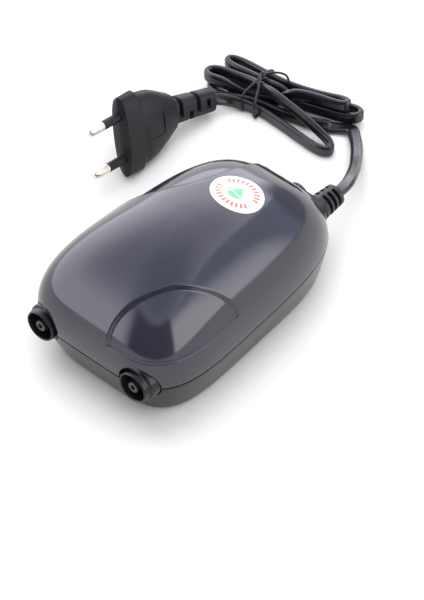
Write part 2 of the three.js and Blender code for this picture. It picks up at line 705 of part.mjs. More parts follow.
function addLead() {
  const hank = join(...[HANK_LEFT, HANK_LOBE_NEAR, HANK_LOBE_FAR].map((end) => capsule(HANK_TIE, end)));
  add('lead_hank', hank, cordJacket);
  add('lead_to_hank', tube(LEAD_TO_HANK, LEAD_RADIUS, { steps: 14 }), cordJacket);
  add('lead_to_plug', tube(HANK_TO_PLUG, LEAD_RADIUS, { steps: 4 }), cordJacket);

  const { x, y, radius } = HANK_TIE;
  const band = [x - 0.6, x + 0.6];
  const reach = radius + 0.9;
  const ring = cut(
    box(band, [y - reach, y + reach + 1.6], [0.15, HANK.top + 1.2]),
    box([x - 2, x + 2], [y - reach + 0.5, y + reach + 1.1], [1.0, HANK.top + GAP]),
  );
  const tailZ = HANK.top + 0.9;
  const tail = tube([[x, y, tailZ], [x + 4, y + 3, tailZ + 1.6], [x + 9, y + 5, tailZ + 2], [x + 13, y + 5, tailZ + 0.2]],
    0.5, { sides: 6, steps: 8 });
  add('twist_tie', join(ring, tail), blackPlastic);
}

function addPlug() {
  const pinAxis = new THREE.Vector3(...PLUG.pinDirection).normalize();
  const wide = new THREE.Vector3(...PLUG.wideDirection);
  wide.addScaledVector(pinAxis, -wide.dot(pinAxis)).normalize();
  const thick = new THREE.Vector3().crossVectors(wide, pinAxis);
  const plug = new THREE.Group();
  plug.applyMatrix4(new THREE.Matrix4().makeBasis(wide, pinAxis, thick).setPosition(...PLUG.face));
  pump.add(plug);

  // Each section is [distance behind the face, half width, half thickness].
  const sections = [
    [0, 16.6, 6.3], [1.2, 17.4, 6.85], [8, 17.3, 6.85], [13, 16.2, 6.85], [15, 15.2, 6.7], [20, 14.8, 6.7],
    [25, 13.8, 6.6], [30, 11.9, 6.2], [34.5, 9.4, 5.6], [PLUG.bodyLength, 7.4, 5],
  ];
  const body = loft(sections.map(([back, w, t]) => {
    const corner = Math.min(4.4, w - 3);
    const section = [[w, -1.4], [w, 1.4], [w - corner, t], [corner - w, t], [-w, 1.4], [-w, -1.4], [corner - w, -t],
      [w - corner, -t]];
    return section.map(([x, z]) => new THREE.Vector3(x, -back, z));
  }));
  add('plug_body', body, blackPlastic, plug);

  [-1, 1].forEach((side, i) => {
    const x = (side * PLUG.pinSpacing) / 2;
    const { sleeveLength, pinLength } = PLUG;
    const sleeve = ringProfile(1.6, 1.9, GAP, sleeveLength);
    const pin = [[0, GAP], [1.3, GAP], [1.3, sleeveLength + GAP], [2, sleeveLength + GAP], [2, pinLength - 1.6],
      [1.4, pinLength - 0.4], [0.7, pinLength], [0, pinLength]];
    add(`plug_pin_sleeve_${i + 1}`, turnedY(sleeve, 12).translate(x, 0, 0), blackPlastic, plug);
    add(`plug_pin_${i + 1}`, turnedY(pin, 12).translate(x, 0, 0), brightMetal, plug);
  });

  // The plug's strain relief droops a little, so it has its own direction.
  const start = new THREE.Vector3(0, -(PLUG.bodyLength + 1.8), 0).applyMatrix4(plug.matrix);
  const end = new THREE.Vector3(...PLUG_RELIEF_END);
  const axis = end.clone().sub(start).normalize();
  const length = end.distanceTo(start);
  const side = new THREE.Vector3().crossVectors(axis, thick).normalize();
  const relief = new THREE.Group();
  const reliefThick = new THREE.Vector3().crossVectors(side, axis);
  relief.applyMatrix4(new THREE.Matrix4().makeBasis(side, axis, reliefThick).setPosition(start));
  pump.add(relief);
  const RELIEF_RIBS = 4;
  const pitch = length / RELIEF_RIBS;
  const profile = [[0, 0.5]];
  for (let i = 0; i < RELIEF_RIBS; i += 1) {
    const radius = 6.2 - 0.5 * i;
    const y = 0.5 + i * pitch;
    profile.push([radius, y], [radius - 0.2, y + pitch * 0.6], [radius - 1.4, y + pitch * 0.66],
      [radius - 1.5, y + pitch * 0.95 - 0.4]);
  }
  profile.push([0, length - 0.2]);
  add('plug_strain_relief', turnedY(profile, 14).scale(1, 1, 0.78), blackPlastic, relief);
}

// ---------------------------------------------------------------- build

addCover();
addBottomShell();
addCaseScrews();
addFeet();
addLabel();
addAirFilter();
addOutlets();
addAirflowKnob();
addElectromagnet();
addCoilLeads();
SIDES.forEach(([word, side]) => {
  addArm(word, side);
  addChamber(word, side);
  addHose(word, side);
});
addLeadRelief();
addLead();
addPlug();

export default airPump;
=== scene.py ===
"""Aquarium air pump with two outlets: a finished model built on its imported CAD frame.

Shapes are given in millimetres in the pump's own drawing axes (+X right, +Y rear, +Z up), and
row() turns them into the frame's metres. Each sub-part and each material has a function of its own.
"""

import math

import bmesh
import bpy
import numpy as np
from mathutils import Matrix, Vector


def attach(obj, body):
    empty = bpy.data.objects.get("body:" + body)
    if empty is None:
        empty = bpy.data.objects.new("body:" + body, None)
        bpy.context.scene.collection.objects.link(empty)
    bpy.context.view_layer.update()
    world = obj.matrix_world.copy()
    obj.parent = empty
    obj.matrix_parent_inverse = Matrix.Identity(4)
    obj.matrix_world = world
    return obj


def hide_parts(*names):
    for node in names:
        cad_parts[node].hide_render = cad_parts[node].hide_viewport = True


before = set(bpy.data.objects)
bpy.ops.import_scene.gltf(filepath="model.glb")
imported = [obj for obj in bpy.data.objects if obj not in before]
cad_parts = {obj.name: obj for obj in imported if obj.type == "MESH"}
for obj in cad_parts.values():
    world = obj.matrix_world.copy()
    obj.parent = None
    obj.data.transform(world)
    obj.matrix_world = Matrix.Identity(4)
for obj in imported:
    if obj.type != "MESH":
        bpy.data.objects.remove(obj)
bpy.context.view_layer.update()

MM = 0.001
CENTRING_Y = -1.45  # added to a drawing's y, because model.glb centres the pump on its origin
PUMP = "pump"  # the body that everything but the knob and the arms rides on

# ---------------------------------------------------------------- driving dimensions, in mm

GAP = 0.3
WALL = 2.2
HALF_WIDTH = 37.5
HALF_LENGTH = 59.9
FRONT_EXPONENT = 4.1
REAR_EXPONENT = 3.5
TAPER = 0.116
PARTING_Z = 21.2
DOME_HEIGHT = 38.2
DOME_EXPONENT = 2.16
DOME_LEAN = -5.8
DOME_TOP_EXPONENT = 2.3
DOME_EASING = 5
TUB_DEPTH = 21.2
TUB_INSET = 6.8
TUB_EXPONENT = 1.12
TUB_FRONT_EXPONENT = 4.3
TUB_REAR_EXPONENT = 4.2
TUB_SHIFT = 2.2
FLOOR_Z = 2.2
FLOOR_THICKNESS = 2.4
OUTLET_X = 24.4
OUTLET_Z = 22.1
OUTLET_FRONT = -61.3
OUTLET_HOLE_RADIUS = 8.2
KNOB_Z = 20.5
KNOB_START = 60.9
KNOB_END = 64.2
LEAD_EXIT = (11.9, 21.2)  # x and z
REAR_OUTER = 60.6
SCREWS = [(-12, -45), (12, -45), (-22, 40), (22, 40)]
FEET = [(-22, -37), (22, -37), (-14, 45), (14, 45)]
FILTER_Y = -30
LABEL_RADIUS = 11
LABEL_PLACE = (6.2, 19.4)

CORD_WIDTH = 5.2
CORD_THICKNESS = 2.8

# ---------------------------------------------------------------- mesh helpers


def row(points):
    """Drawing millimetres to the frame's metres."""
    return (np.asarray(points, float) + (0, CENTRING_Y, 0)) * MM


def piece(name, points, faces, material, body=PUMP, replaces=(), sharp=35):
    """A piece from drawing points and faces, shaded smooth but for edges sharper than an angle."""
    mesh = mesh_of(name, points, faces)
    return finish_piece(name, mesh, material, body, replaces, sharp)


def mesh_of(name, points, faces):
    mesh = bpy.data.meshes.new(name)
    mesh.from_pydata([tuple(p) for p in row(points)], [], [tuple(f) for f in faces])
    return mesh


def clean(mesh):
    """Merges points that coincide and turns every face outwards."""
    bm = bmesh.new()
    bm.from_mesh(mesh)
    bmesh.ops.remove_doubles(bm, verts=bm.verts, dist=1e-7)
    bmesh.ops.recalc_face_normals(bm, faces=bm.faces)
    bm.to_mesh(mesh)
    bm.free()


def linked(name, data):
    """A new object in the scene."""
    obj = bpy.data.objects.new(name, data)
    bpy.context.scene.collection.objects.link(obj)
    return obj


def finish_piece(name, mesh, material, body, replaces, sharp):
    clean(mesh)
    mesh.shade_smooth()
    mesh.set_sharp_from_angle(angle=math.radians(sharp))
    obj = linked(name, mesh)
    obj.data.materials.clear()
    obj.data.materials.append(material)
    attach(obj, body)
    if replaces:
        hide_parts(*replaces)
    return obj


def grid_faces(rows, columns, closed=True):
    """Quads of a grid of points, row after row, whose rows close on themselves."""
    faces = []
    for r in range(rows - 1):
        for c in range(columns if closed else columns - 1):
            d = (c + 1) % columns
            faces.append((r * columns + c, r * columns + d, (r + 1) * columns + d, (r + 1) * columns + c))
    return faces


def stack(rings, first=None, last=None):
    """A surface through rings of equal size, closed by a point, or left open, at each end."""
    count = len(rings[0])
    points = [p for ring in rings for p in ring]
    faces = grid_faces(len(rings), count)
    for end, base in ((first, 0), (last, (len(rings) - 1) * count)):
        if end is not None:
            points.append(end)
            faces += [(base + i, base + (i + 1) % count, len(points) - 1) for i in range(count)]
    return points, faces


def capped(rings):
    """The same, closed by the middle of its first and last rings."""
    return stack(rings, np.mean(rings[0], axis=0), np.mean(rings[-1], axis=0))


def rounded(profile, radius, steps=4, closed=False):
    """A profile with its inner corners rounded, where its sides leave room."""
    points = [np.array(p[:2], float) for p in profile]
    out = [] if closed else [points[0]]
    n = len(points)
    for i in range(0 if closed else 1, n if closed else n - 1):
        before, corner, after = points[i - 1], points[i], points[(i + 1) % n]
        a, b = before - corner, after - corner
        la, lb = np.linalg.norm(a), np.linalg.norm(b)
        reach = min(profile[i][2] if len(profile[i]) > 2 else radius, 0.45 * la, 0.45 * lb)
        start, end = corner + a / la * reach, corner + b / lb * reach
        for k in range(steps + 1):
            t = k / steps
            out.append((1 - t) ** 2 * start + 2 * t * (1 - t) * corner + t**2 * end)
    if not closed:
        out.append(points[-1])
    return out


def turned(profile, steps=64, axis="Y", place=(0, 0, 0)):
    """A body of revolution. The profile lists (radius, distance along the axis)."""
    angles = np.linspace(0, 2 * math.pi, steps, endpoint=False)
    c, s = np.cos(angles), np.sin(angles)
    closes = profile[0][0] > 1e-6
    rings = []
    poles = {}
    for i, (r, h) in enumerate(profile):
        if r < 1e-6:
            poles[i] = (0, 0, h)
        else:
            rings.append(np.stack([r * c, r * s, np.full(steps, h)], 1))
    points, faces = stack(rings, poles.get(0), poles.get(len(profile) - 1))
    if closes:
        last = (len(rings) - 1) * steps
        faces += [(last + i, last + (i + 1) % steps, (i + 1) % steps, i) for i in range(steps)]
    points = np.array(points, float)
    if axis == "Y":
        points = points[:, [0, 2, 1]]
    return points + place, faces


def solid(points, faces):
    """A bare object for a boolean cut or join."""
    mesh = mesh_of("cutter", points, faces)
    clean(mesh)
    return linked("cutter", mesh)


def combine(base, operation, *tools):
    """base joined with, cut by or cut down to each tool, which goes."""
    for tool in tools:
        modifier = base.modifiers.new("combine", "BOOLEAN")
        modifier.operation = operation
        modifier.solver = "EXACT"
        modifier.object = tool
        evaluated = base.evaluated_get(bpy.context.evaluated_depsgraph_get())
        mesh = bpy.data.meshes.new_from_object(evaluated)
        base.modifiers.clear()
        base.data = mesh
        bpy.data.objects.remove(tool)
    return base


def taken(obj):
    """The mesh of a bare object, which goes."""
    mesh = obj.data
    bpy.data.objects.remove(obj)
    return mesh


def prism(outline, low, high, axis="Z"):
    """An outline of (a, b) pairs run along an axis: a, b are x, y or, along Y, x, z."""
    outline = np.asarray(outline, float)
    rings = []
    for h in (low, high):
        ring = np.column_stack([outline, np.full(len(outline), h)])
        rings.append(ring if axis == "Z" else ring[:, [0, 2, 1]])
    return capped(rings)


def rod(radius, low, high, place, axis="Z", steps=48):
    return turned([(0, low), (radius, low), (radius, high), (0, high)], steps, axis, place)


# ---------------------------------------------------------------- material helpers


def mixed(tree, factor, a, b):
    """Colour a where factor is 0 and b where it is 1. Each is a colour or a socket."""
    node = tree.nodes.new("ShaderNodeMix")
    node.data_type = "RGBA"
    tree.links.new(factor, node.inputs["Factor"])
    for value, name in ((a, "A"), (b, "B")):
        socket = [i for i in node.inputs if i.name == name and i.type == "RGBA"][0]
        if isinstance(value, tuple):
            socket.default_value = value
        else:
            tree.links.new(value, socket)
    return [o for o in node.outputs if o.type == "RGBA"][0]


class Nodes:
    """A short way to build a node material around one Principled BSDF."""

    def __init__(self, name):
        self.material = bpy.data.materials.new(name)
        self.material.use_nodes = True
        self.tree = self.material.node_tree
        self.bsdf = self.tree.nodes["Principled BSDF"]
        self.place = self.add("ShaderNodeTexCoord").outputs["Object"]

    def add(self, kind, **values):
        node = self.tree.nodes.new(kind)
        for key, value in values.items():
            if hasattr(node, key):
                setattr(node, key, value)
            else:
                node.inputs[key.replace("_", " ")].default_value = value
        return node

    def link(self, source, target):
        self.tree.links.new(source, target)

    def set(self, **values):
        for key, value in values.items():
            self.bsdf.inputs[key.replace("_", " ")].default_value = value

    def noise(self, scale, detail=3.0, roughness=0.5, source=None):
        node = self.add("ShaderNodeTexNoise", Scale=scale, Detail=detail, Roughness=roughness)
        self.link(source or self.place, node.inputs["Vector"])
        return node.outputs["Fac"]

    def ramp(self, source, low, high, start=0.35, end=0.65):
        """source mapped from start..end to low..high."""
        node = self.add("ShaderNodeMapRange")
        self.link(source, node.inputs["Value"])
        node.inputs["From Min"].default_value = start
        node.inputs["From Max"].default_value = end
        node.inputs["To Min"].default_value = low
        node.inputs["To Max"].default_value = high
        return node.outputs["Result"]

    def maths(self, operation, a, b=0.0):
        node = self.add("ShaderNodeMath", operation=operation)
        for value, socket in ((a, node.inputs[0]), (b, node.inputs[1])):
            if isinstance(value, (int, float)):
                socket.default_value = value
            else:
                self.link(value, socket)
        return node.outputs[0]

    def mix(self, factor, a, b):
        return mixed(self.tree, factor, a, b)

    def bump(self, height, strength, distance):
        node = self.add("ShaderNodeBump", Strength=strength, Distance=distance)
        self.link(height, node.inputs["Height"])
        self.link(node.outputs["Normal"], self.bsdf.inputs["Normal"])
        return node

    def colour(self, source):
        self.link(source, self.bsdf.inputs["Base Color"])

    def rough(self, source):
        self.link(source, self.bsdf.inputs["Roughness"])


def rgb(r, g, b):
    return (r, g, b, 1.0)


def grey(level, blue=0.001):
    """A near-black with a little blue in it."""
    return rgb(level, level, round(level + blue, 4))


def moulded(name, dark, light, rough=(0.4, 0.5), grain=1800.0, bump=0.1, specular=0.5):
    """Moulded plastic or rubber: slow colour drift, fine grain and patchy gloss."""
    n = Nodes(name)
    drift = n.noise(45.0, 4.0)
    n.colour(n.mix(n.ramp(drift, 0.0, 1.0), dark, light))
    fine = n.noise(grain, 2.0, 0.6)
    n.rough(n.ramp(n.maths("MULTIPLY", n.maths("ADD", drift, fine), 0.5), *rough))
    n.bump(fine, bump, 0.00004)
    n.set(Specular_IOR_Level=specular)
    return n.material


def plated(name, colour, rough=(0.2, 0.35), grain=(400.0, 400.0, 4000.0)):
    """Drawn or plated metal with fine lines along one axis."""
    n = Nodes(name)
    stretch = n.add("ShaderNodeMapping")
    stretch.inputs["Scale"].default_value = grain
    n.link(n.place, stretch.inputs["Vector"])
    lines = n.noise(1.0, 3.0, 0.6, stretch.outputs["Vector"])
    blotch = n.noise(220.0, 2.0)
    dark = tuple(0.8 * c for c in colour[:3]) + (1.0,)
    n.colour(n.mix(n.ramp(blotch, 0.0, 1.0), dark, colour))
    n.rough(n.ramp(lines, *rough))
    n.bump(lines, 0.08, 0.00003)
    n.set(Metallic=1.0)
    return n.material


def cover_plastic():
    """Glossy slate ABS: a slow drift of colour, uneven gloss and a faint orange peel."""
    n = Nodes("cover_plastic")
    drift = n.noise(18.0, 3.0)
    n.colour(n.mix(n.ramp(drift, 0.0, 1.0), rgb(0.019, 0.020, 0.031), rgb(0.023, 0.024, 0.036)))
    smear = n.noise(60.0, 4.0, 0.6)
    n.rough(n.ramp(smear, 0.10, 0.16))
    orange_peel = n.noise(420.0, 2.0, 0.4)
    n.bump(orange_peel, 0.05, 0.00003)
    n.set(Specular_IOR_Level=0.62)
    return n.material


# ---------------------------------------------------------------- materials

COVER = cover_plastic()
SHELL = moulded("shell_plastic", grey(0.006), grey(0.010), (0.18, 0.28), 2600.0, 0.15, specular=0.3)
RUBBER = moulded("black_rubber", grey(0.007), grey(0.011), (0.36, 0.5), 1500.0, 0.3, specular=0.4)
KNOB_PLASTIC = moulded("knob_plastic", grey(0.016, 0.002), grey(0.024, 0.002), (0.4, 0.5), 2000.0, 0.3)
NOZZLE = moulded("nozzle_plastic", grey(0.012), grey(0.018, 0.002), (0.25, 0.35), 2000.0, 0.2)
JACKET = moulded("lead_jacket", grey(0.006, 0.002), grey(0.010, 0.002), (0.18, 0.30), 900.0, 0.1,
                 specular=0.55)
PLUG_PLASTIC = moulded("plug_plastic", grey(0.007, 0.002), grey(0.012, 0.002), (0.4, 0.55), 1300.0, 0.5,
                       specular=0.24)
TIE = moulded("tie_plastic", grey(0.006), grey(0.010), (0.3, 0.4), 1500.0, 0.2)
GREY = moulded("grey_plastic", rgb(0.24, 0.24, 0.26), rgb(0.30, 0.30, 0.32), (0.4, 0.5))
WHITE = moulded("white_plastic", rgb(0.70, 0.70, 0.64), rgb(0.78, 0.78, 0.73), (0.4, 0.5))
FERRITE = moulded("ferrite", rgb(0.03, 0.03, 0.032), rgb(0.055, 0.055, 0.058), (0.5, 0.65), 700.0, 0.5)
INSULATION = moulded("wire_insulation", rgb(0.16, 0.05, 0.02), rgb(0.22, 0.08, 0.03), (0.35, 0.45))
HOSE = moulded("clear_hose", rgb(0.50, 0.56, 0.57), rgb(0.60, 0.65, 0.66), (0.2, 0.3))
BRIGHT = plated("bright_metal", rgb(0.86, 0.79, 0.66), (0.34, 0.44), (500.0, 500.0, 500.0))
ZINC = plated("zinc_steel", rgb(0.55, 0.56, 0.57))
COPPER = plated("copper_wire", rgb(0.62, 0.25, 0.10), (0.25, 0.35), (4000.0, 30.0, 30.0))
LAMINATED = plated("silicon_steel", rgb(0.22, 0.22, 0.24), (0.35, 0.5), (20.0, 20.0, 9000.0))


def felt():
    """Pale felt: clumped fibres and no gloss."""
    n = Nodes("filter_felt")
    fibres = n.noise(2600.0, 6.0, 0.75)
    clumps = n.noise(300.0, 3.0)
    n.colour(n.mix(n.ramp(clumps, 0.0, 1.0), rgb(0.50, 0.50, 0.45), rgb(0.66, 0.66, 0.60)))
    n.bump(fibres, 0.9, 0.0003)
    n.set(Roughness=0.95, Sheen_Weight=0.4)
    return n.material


FELT = felt()

CAD_MATERIALS = {
    "regulator_spindle": ZINC,
    "regulator_body": GREY,
    "stator_core": LAMINATED,
    "coil_bobbin": WHITE,
    "coil_winding": COPPER,
    "stator_bracket": ZINC,
    "core_screw": ZINC,
    "coil_lead": INSULATION,
    "swing_arm": WHITE,
    "arm_magnet": FERRITE,
    "arm_mount": RUBBER,
    "diaphragm_washer": ZINC,
    "diaphragm": RUBBER,
    "pump_chamber": GREY,
    "valve_plate": WHITE,
    "flap_valve": RUBBER,
    "air_hose": HOSE,
    "air_filter_felt": FELT,
}


def dress_cad_nodes():
    """The inner pieces keep their CAD shapes and get their materials by the longest matching name."""
    for name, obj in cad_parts.items():
        keys = [k for k in CAD_MATERIALS if name.startswith(k)]
        if keys:
            obj.data.materials.clear()
            obj.data.materials.append(CAD_MATERIALS[max(keys, key=len)])


# ---------------------------------------------------------------- the case's surfaces


def body_ring(angles, z, scale=1.0, inset=0.0, shift=0.0, front=FRONT_EXPONENT, rear=REAR_EXPONENT):
    """One plan outline of the body: a tapered superellipse, squarer at the front."""
    c, s = np.cos(angles), np.sin(angles)
    n = np.where(s < 0, front, rear)
    reach = (np.abs(c) ** n + np.abs(s) ** n) ** (-1 / n)
    x = c * reach * (1 - TAPER * s * reach) * (HALF_WIDTH - inset) * scale
    y = s * reach * (HALF_LENGTH - inset) * scale + shift
    return np.stack([x, y, np.full(len(angles), z)], 1)


def dome_exponent(exponent, rise):
    return exponent + (DOME_TOP_EXPONENT - exponent) * rise**DOME_EASING


def dome_ring(angles, t, offset=0.0):
    """A level line of the dome, t from 0 at the parting plane to pi/2 at the top."""
    rise = math.sin(t) ** (2 / DOME_EXPONENT)
    return body_ring(
        angles,
        PARTING_Z + (DOME_HEIGHT + offset) * rise,
        max(math.cos(t), 0.0) ** (2 / DOME_EXPONENT),
        -offset,
        DOME_LEAN * rise,
        dome_exponent(FRONT_EXPONENT, rise),
        dome_exponent(REAR_EXPONENT, rise),
    )


def dome_top(offset=0.0):
    return (0, DOME_LEAN, PARTING_Z + DOME_HEIGHT + offset)


def dome_height(x, y):
    """The dome's height above (x, y), by halving."""
    low, high = 0.0, math.pi / 2
    for _ in range(40):
        t = (low + high) / 2
        rise = math.sin(t) ** (2 / DOME_EXPONENT)
        scale = math.cos(t) ** (2 / DOME_EXPONENT)
        v = (y - DOME_LEAN * rise) / (HALF_LENGTH * scale)
        u = x / (HALF_WIDTH * scale * (1 - TAPER * v))
        n = dome_exponent(FRONT_EXPONENT if v < 0 else REAR_EXPONENT, rise)
        if abs(u) ** n + abs(v) ** n < 1:
            low = t
        else:
            high = t
    return PARTING_Z + DOME_HEIGHT * math.sin(low) ** (2 / DOME_EXPONENT)


def dome_normal(x, y, step=0.5):
    slope_x = (dome_height(x + step, y) - dome_height(x - step, y)) / (2 * step)
    slope_y = (dome_height(x, y + step) - dome_height(x, y - step)) / (2 * step)
    return Vector((-slope_x, -slope_y, 1)).normalized()


def outward_normals(grid):
    """Unit normals of a grid of rows by columns, whose rows close on themselves."""
    along = np.roll(grid, -1, 1) - np.roll(grid, 1, 1)
    up = np.gradient(grid, axis=0)
    normals = np.cross(along, up)
    length = np.linalg.norm(normals, axis=2, keepdims=True)
    return normals / np.maximum(length, 1e-9)


# The two sunk panels. Each is an arch seen along a diagonal: flat below, and it may be leaner on one side.
FRONT_PANEL = {"across": -9.4, "half": 26, "height": 20.3, "lean": 1.7, "side": 1}
BACK_PANEL = {"across": 0, "half": 30, "height": 24.3, "lean": 2, "side": -1}
PANEL_BASE = 33.2
PANEL_DEPTH = 1.2
PANEL_STEP = 0.95  # width of the step down into a panel


def panel_sink(points, panel):
    """How far each point sinks into a panel: 0 outside, 1 inside, with a smooth step."""
    across = (points[..., 0] + points[..., 1]) / math.sqrt(2) - panel["across"]
    out = (points[..., 0] - points[..., 1]) / math.sqrt(2) * panel["side"]
    up = points[..., 2] - PANEL_BASE
    u = np.abs(across) / panel["half"]
    v = np.maximum(up, 0) / panel["height"]
    n = np.where(across < 0, 2.0, panel["lean"])
    r = (u**n + v**n) ** (1 / n)
    slope = np.hypot(u ** (n - 1) / panel["half"], v ** (n - 1) / panel["height"])
    slope /= np.maximum(r, 1e-6) ** (n - 1)
    arch = (1 - r) / np.maximum(slope, 1e-3)
    depth_in = np.minimum(arch, up * 1.15)
    step = np.clip(depth_in / PANEL_STEP, 0, 1)
    return np.where(out > 0, step * step * (3 - 2 * step), 0.0)


def graded(start, zones):
    """Values from start through zones of (end, count), even within each zone."""
    values = [start]
    for end, count in zones:
        values += list(np.linspace(values[-1], end, count + 1)[1:])
    return np.array(values)


def cover_angles(coarse):
    """Plan angles, closest together across the front panel, then across the rear one."""
    share = 2 if coarse else 1
    zones = ((-105, 16), (-5, 300), (70, 40), (175, 140), (240, 44))
    return np.radians(graded(-120, [(end, count // share) for end, count in zones]))[:-1]


def cover_points(angles, coarse):
    """The dome's rings, closest together over the heights of the two sunk panels."""
    share = 2 if coarse else 1
    base = PARTING_Z + GAP / 2
    start = [body_ring(angles, base, inset=0.35), body_ring(angles, base + 0.12, inset=0.1)]
    zones = ((0.24, 8), (0.32, 18), (0.95, 84), (1.5, 26))
    rise = [dome_ring(angles, t) for t in graded(0.012, [(end, count // share) for end, count in zones])]
    outer = np.array(start + rise)
    normals = outward_normals(outer)
    for panel in (FRONT_PANEL, BACK_PANEL):
        outer = outer - normals * (PANEL_DEPTH * panel_sink(outer, panel))[..., None]
    return outer


def outlet_cutters(radius, low, high):
    return [solid(*rod(radius, low, high, (x, 0, OUTLET_Z), "Y", 72)) for x in (-OUTLET_X, OUTLET_X)]


def make_cover():
    angles = cover_angles(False)
    outer = list(cover_points(angles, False))
    inner = [body_ring(angles, PARTING_Z + GAP / 2, inset=WALL)]
    inner += [dome_ring(angles, 0.02 + (math.pi / 2 - 0.02) * i / 14, -WALL) for i in range(14)]
    points, faces = stack(inner[::-1] + outer, dome_top(-WALL), dome_top())
    cover = solid(points, faces)
    opening = np.array([(-20.8, 50), (20.8, 50), (20.8, 70), (-20.8, 70)])
    rear = solid(*prism(opening, 10, 28.1))
    combine(cover, "DIFFERENCE", rear, *outlet_cutters(OUTLET_HOLE_RADIUS, -70, -48))
    return finish_piece("cover_shell", taken(cover), COVER, PUMP, ["top_cover"], 40)


# ---------------------------------------------------------------- bottom shell


def tub_ring(angles, z, inset=0.0):
    drop = (PARTING_Z - z) / TUB_DEPTH
    k = 1 - (1 - max(drop, 0.0) ** TUB_EXPONENT) ** (1 / TUB_EXPONENT)
    return body_ring(
        angles,
        z,
        1.0,
        inset + TUB_INSET * k,
        TUB_SHIFT * k,
        FRONT_EXPONENT + (TUB_FRONT_EXPONENT - FRONT_EXPONENT) * k,
        REAR_EXPONENT + (TUB_REAR_EXPONENT - REAR_EXPONENT) * k,
    )


def round_topped(half, low, high, radius, foot=None, shoulder=None, steps=10):
    """A symmetric outline from low to high, whose two high corners are rounded."""
    points = [(half if foot is None else foot, low)]
    if shoulder is not None:
        points.append((half, shoulder))
    for i in range(steps + 1):
        a = math.pi / 2 * i / steps
        points.append((half - radius + radius * math.cos(a), high - radius + radius * math.sin(a)))
    return np.array([(-x, y) for x, y in points] + points[::-1])[::-1]


def rear_panel():
    """The rear panel's wall, round-cornered in plan and from behind."""
    outside = solid(*prism(round_topped(20.5, 54.5, REAR_OUTER, 6), 0, 40))
    inside = solid(*prism(round_topped(17.3, 40, REAR_OUTER - 3.2, 2.8), PARTING_Z - GAP, 45))
    outline = round_topped(20.5, 12.5, 27.8, 4, 17, 15.5)
    elevation = solid(*prism(outline, 40, 80, "Y"))
    combine(outside, "DIFFERENCE", inside)
    return combine(outside, "INTERSECT", elevation)


def make_bottom_shell():
    columns = 360
    angles = np.linspace(0, 2 * math.pi, columns, endpoint=False)
    top = PARTING_Z - GAP / 2
    edge_depth = PARTING_Z - FLOOR_Z
    outer = [body_ring(angles, top, inset=0.35), body_ring(angles, top - 0.12, inset=0.1)]
    drops = [(edge_depth - 0.6) * math.sin(math.pi / 2 * i / 22) for i in range(23)]
    outer += [tub_ring(angles, top - 0.35 - drop) for drop in drops]
    bottom_edge = ((FLOOR_Z + 0.08, 0.15), (FLOOR_Z, 0.5), (FLOOR_Z, 2.5))
    outer += [tub_ring(angles, z, inset) for z, inset in bottom_edge]
    floor_top = FLOOR_Z + FLOOR_THICKNESS
    depth = PARTING_Z - floor_top
    inner = [body_ring(angles, top + 1, inset=WALL)]
    drops = [depth * math.sin(math.pi / 2 * i / 10) for i in range(1, 11)]
    inner += [tub_ring(angles, PARTING_Z - drop, WALL) for drop in drops]
    centre = (0, TUB_SHIFT * 0.6)
    shell = solid(*stack(outer, (*centre, top), (*centre, FLOOR_Z)))
    combine(shell, "UNION", rear_panel())
    combine(shell, "DIFFERENCE", solid(*stack(inner, (*centre, top + 1), (*centre, floor_top))))
    for x, y in SCREWS:
        combine(shell, "UNION", solid(*rod(3.6, 3, PARTING_Z - GAP, (x, y, 0))))
    for x, y in SCREWS:
        combine(shell, "DIFFERENCE", solid(*rod(3.2, 0, 6.6, (x, y, 0))), solid(*rod(1.7, 0, 30, (x, y, 0))))
    for x, y in FEET:
        combine(shell, "DIFFERENCE", solid(*rod(5.8, 0, 3.3, (x, y, 0))))
    filter_hole = [(0, 0), (13.3, 0), (13.3, 3.8), (11, 3.8), (11, 9), (0, 9)]
    combine(shell, "DIFFERENCE", solid(*turned(filter_hole, 96, "Z", (0, FILTER_Y, 0))))
    combine(shell, "DIFFERENCE", solid(*rod(2.4, 50, 70, (0, 0, KNOB_Z), "Y")))
    combine(shell, "DIFFERENCE", solid(*rod(3.9, 50, 70, (LEAD_EXIT[0], 0, LEAD_EXIT[1]), "Y")))
    combine(shell, "DIFFERENCE", *outlet_cutters(OUTLET_HOLE_RADIUS, -70, -48))
    return finish_piece("lower_shell", taken(shell), SHELL, PUMP, ["bottom_shell"], 30)


# ---------------------------------------------------------------- outlets


def make_outlets():
    front = OUTLET_FRONT
    cup = rounded(
        [
            (5.9, front + 0.35, 0.3), (6.2, front, 0.2), (6.5, front, 0.3), (6.8, front + 0.5, 0.4),
            (6.85, front + 1.5, 0.2), (6.7, front + 1.7, 0.2), (6.75, -58.4, 0.3), (7.75, -57.9, 0.4),
            (7.75, -48), (2.8, -48), (2.8, front + 6.3, 0.2), (5.7, front + 6.3, 0.6),
        ],
        0.3,
        closed=True,
    )
    nozzle = rounded(
        [
            (1.1, front + 0.5, 0.2), (2.2, front + 0.35, 0.3), (2.45, front + 0.9, 0.3), (2.45, -47.7),
            (1.9, -47.7), (1.9, -41), (1.1, -41),
        ],
        0.15,
        closed=True,
    )
    for word, x in (("left", -OUTLET_X), ("right", OUTLET_X)):
        place = (x, 0, OUTLET_Z)
        points, faces = turned(cup, 96, "Y", place)
        piece(f"outlet_cup_{word}", points, faces, SHELL, PUMP, [f"outlet_grommet_{word}"])
        points, faces = turned(nozzle, 64, "Y", place)
        piece(f"outlet_tube_{word}", points, faces, NOZZLE, PUMP, [f"outlet_nozzle_{word}"])


# ---------------------------------------------------------------- airflow knob


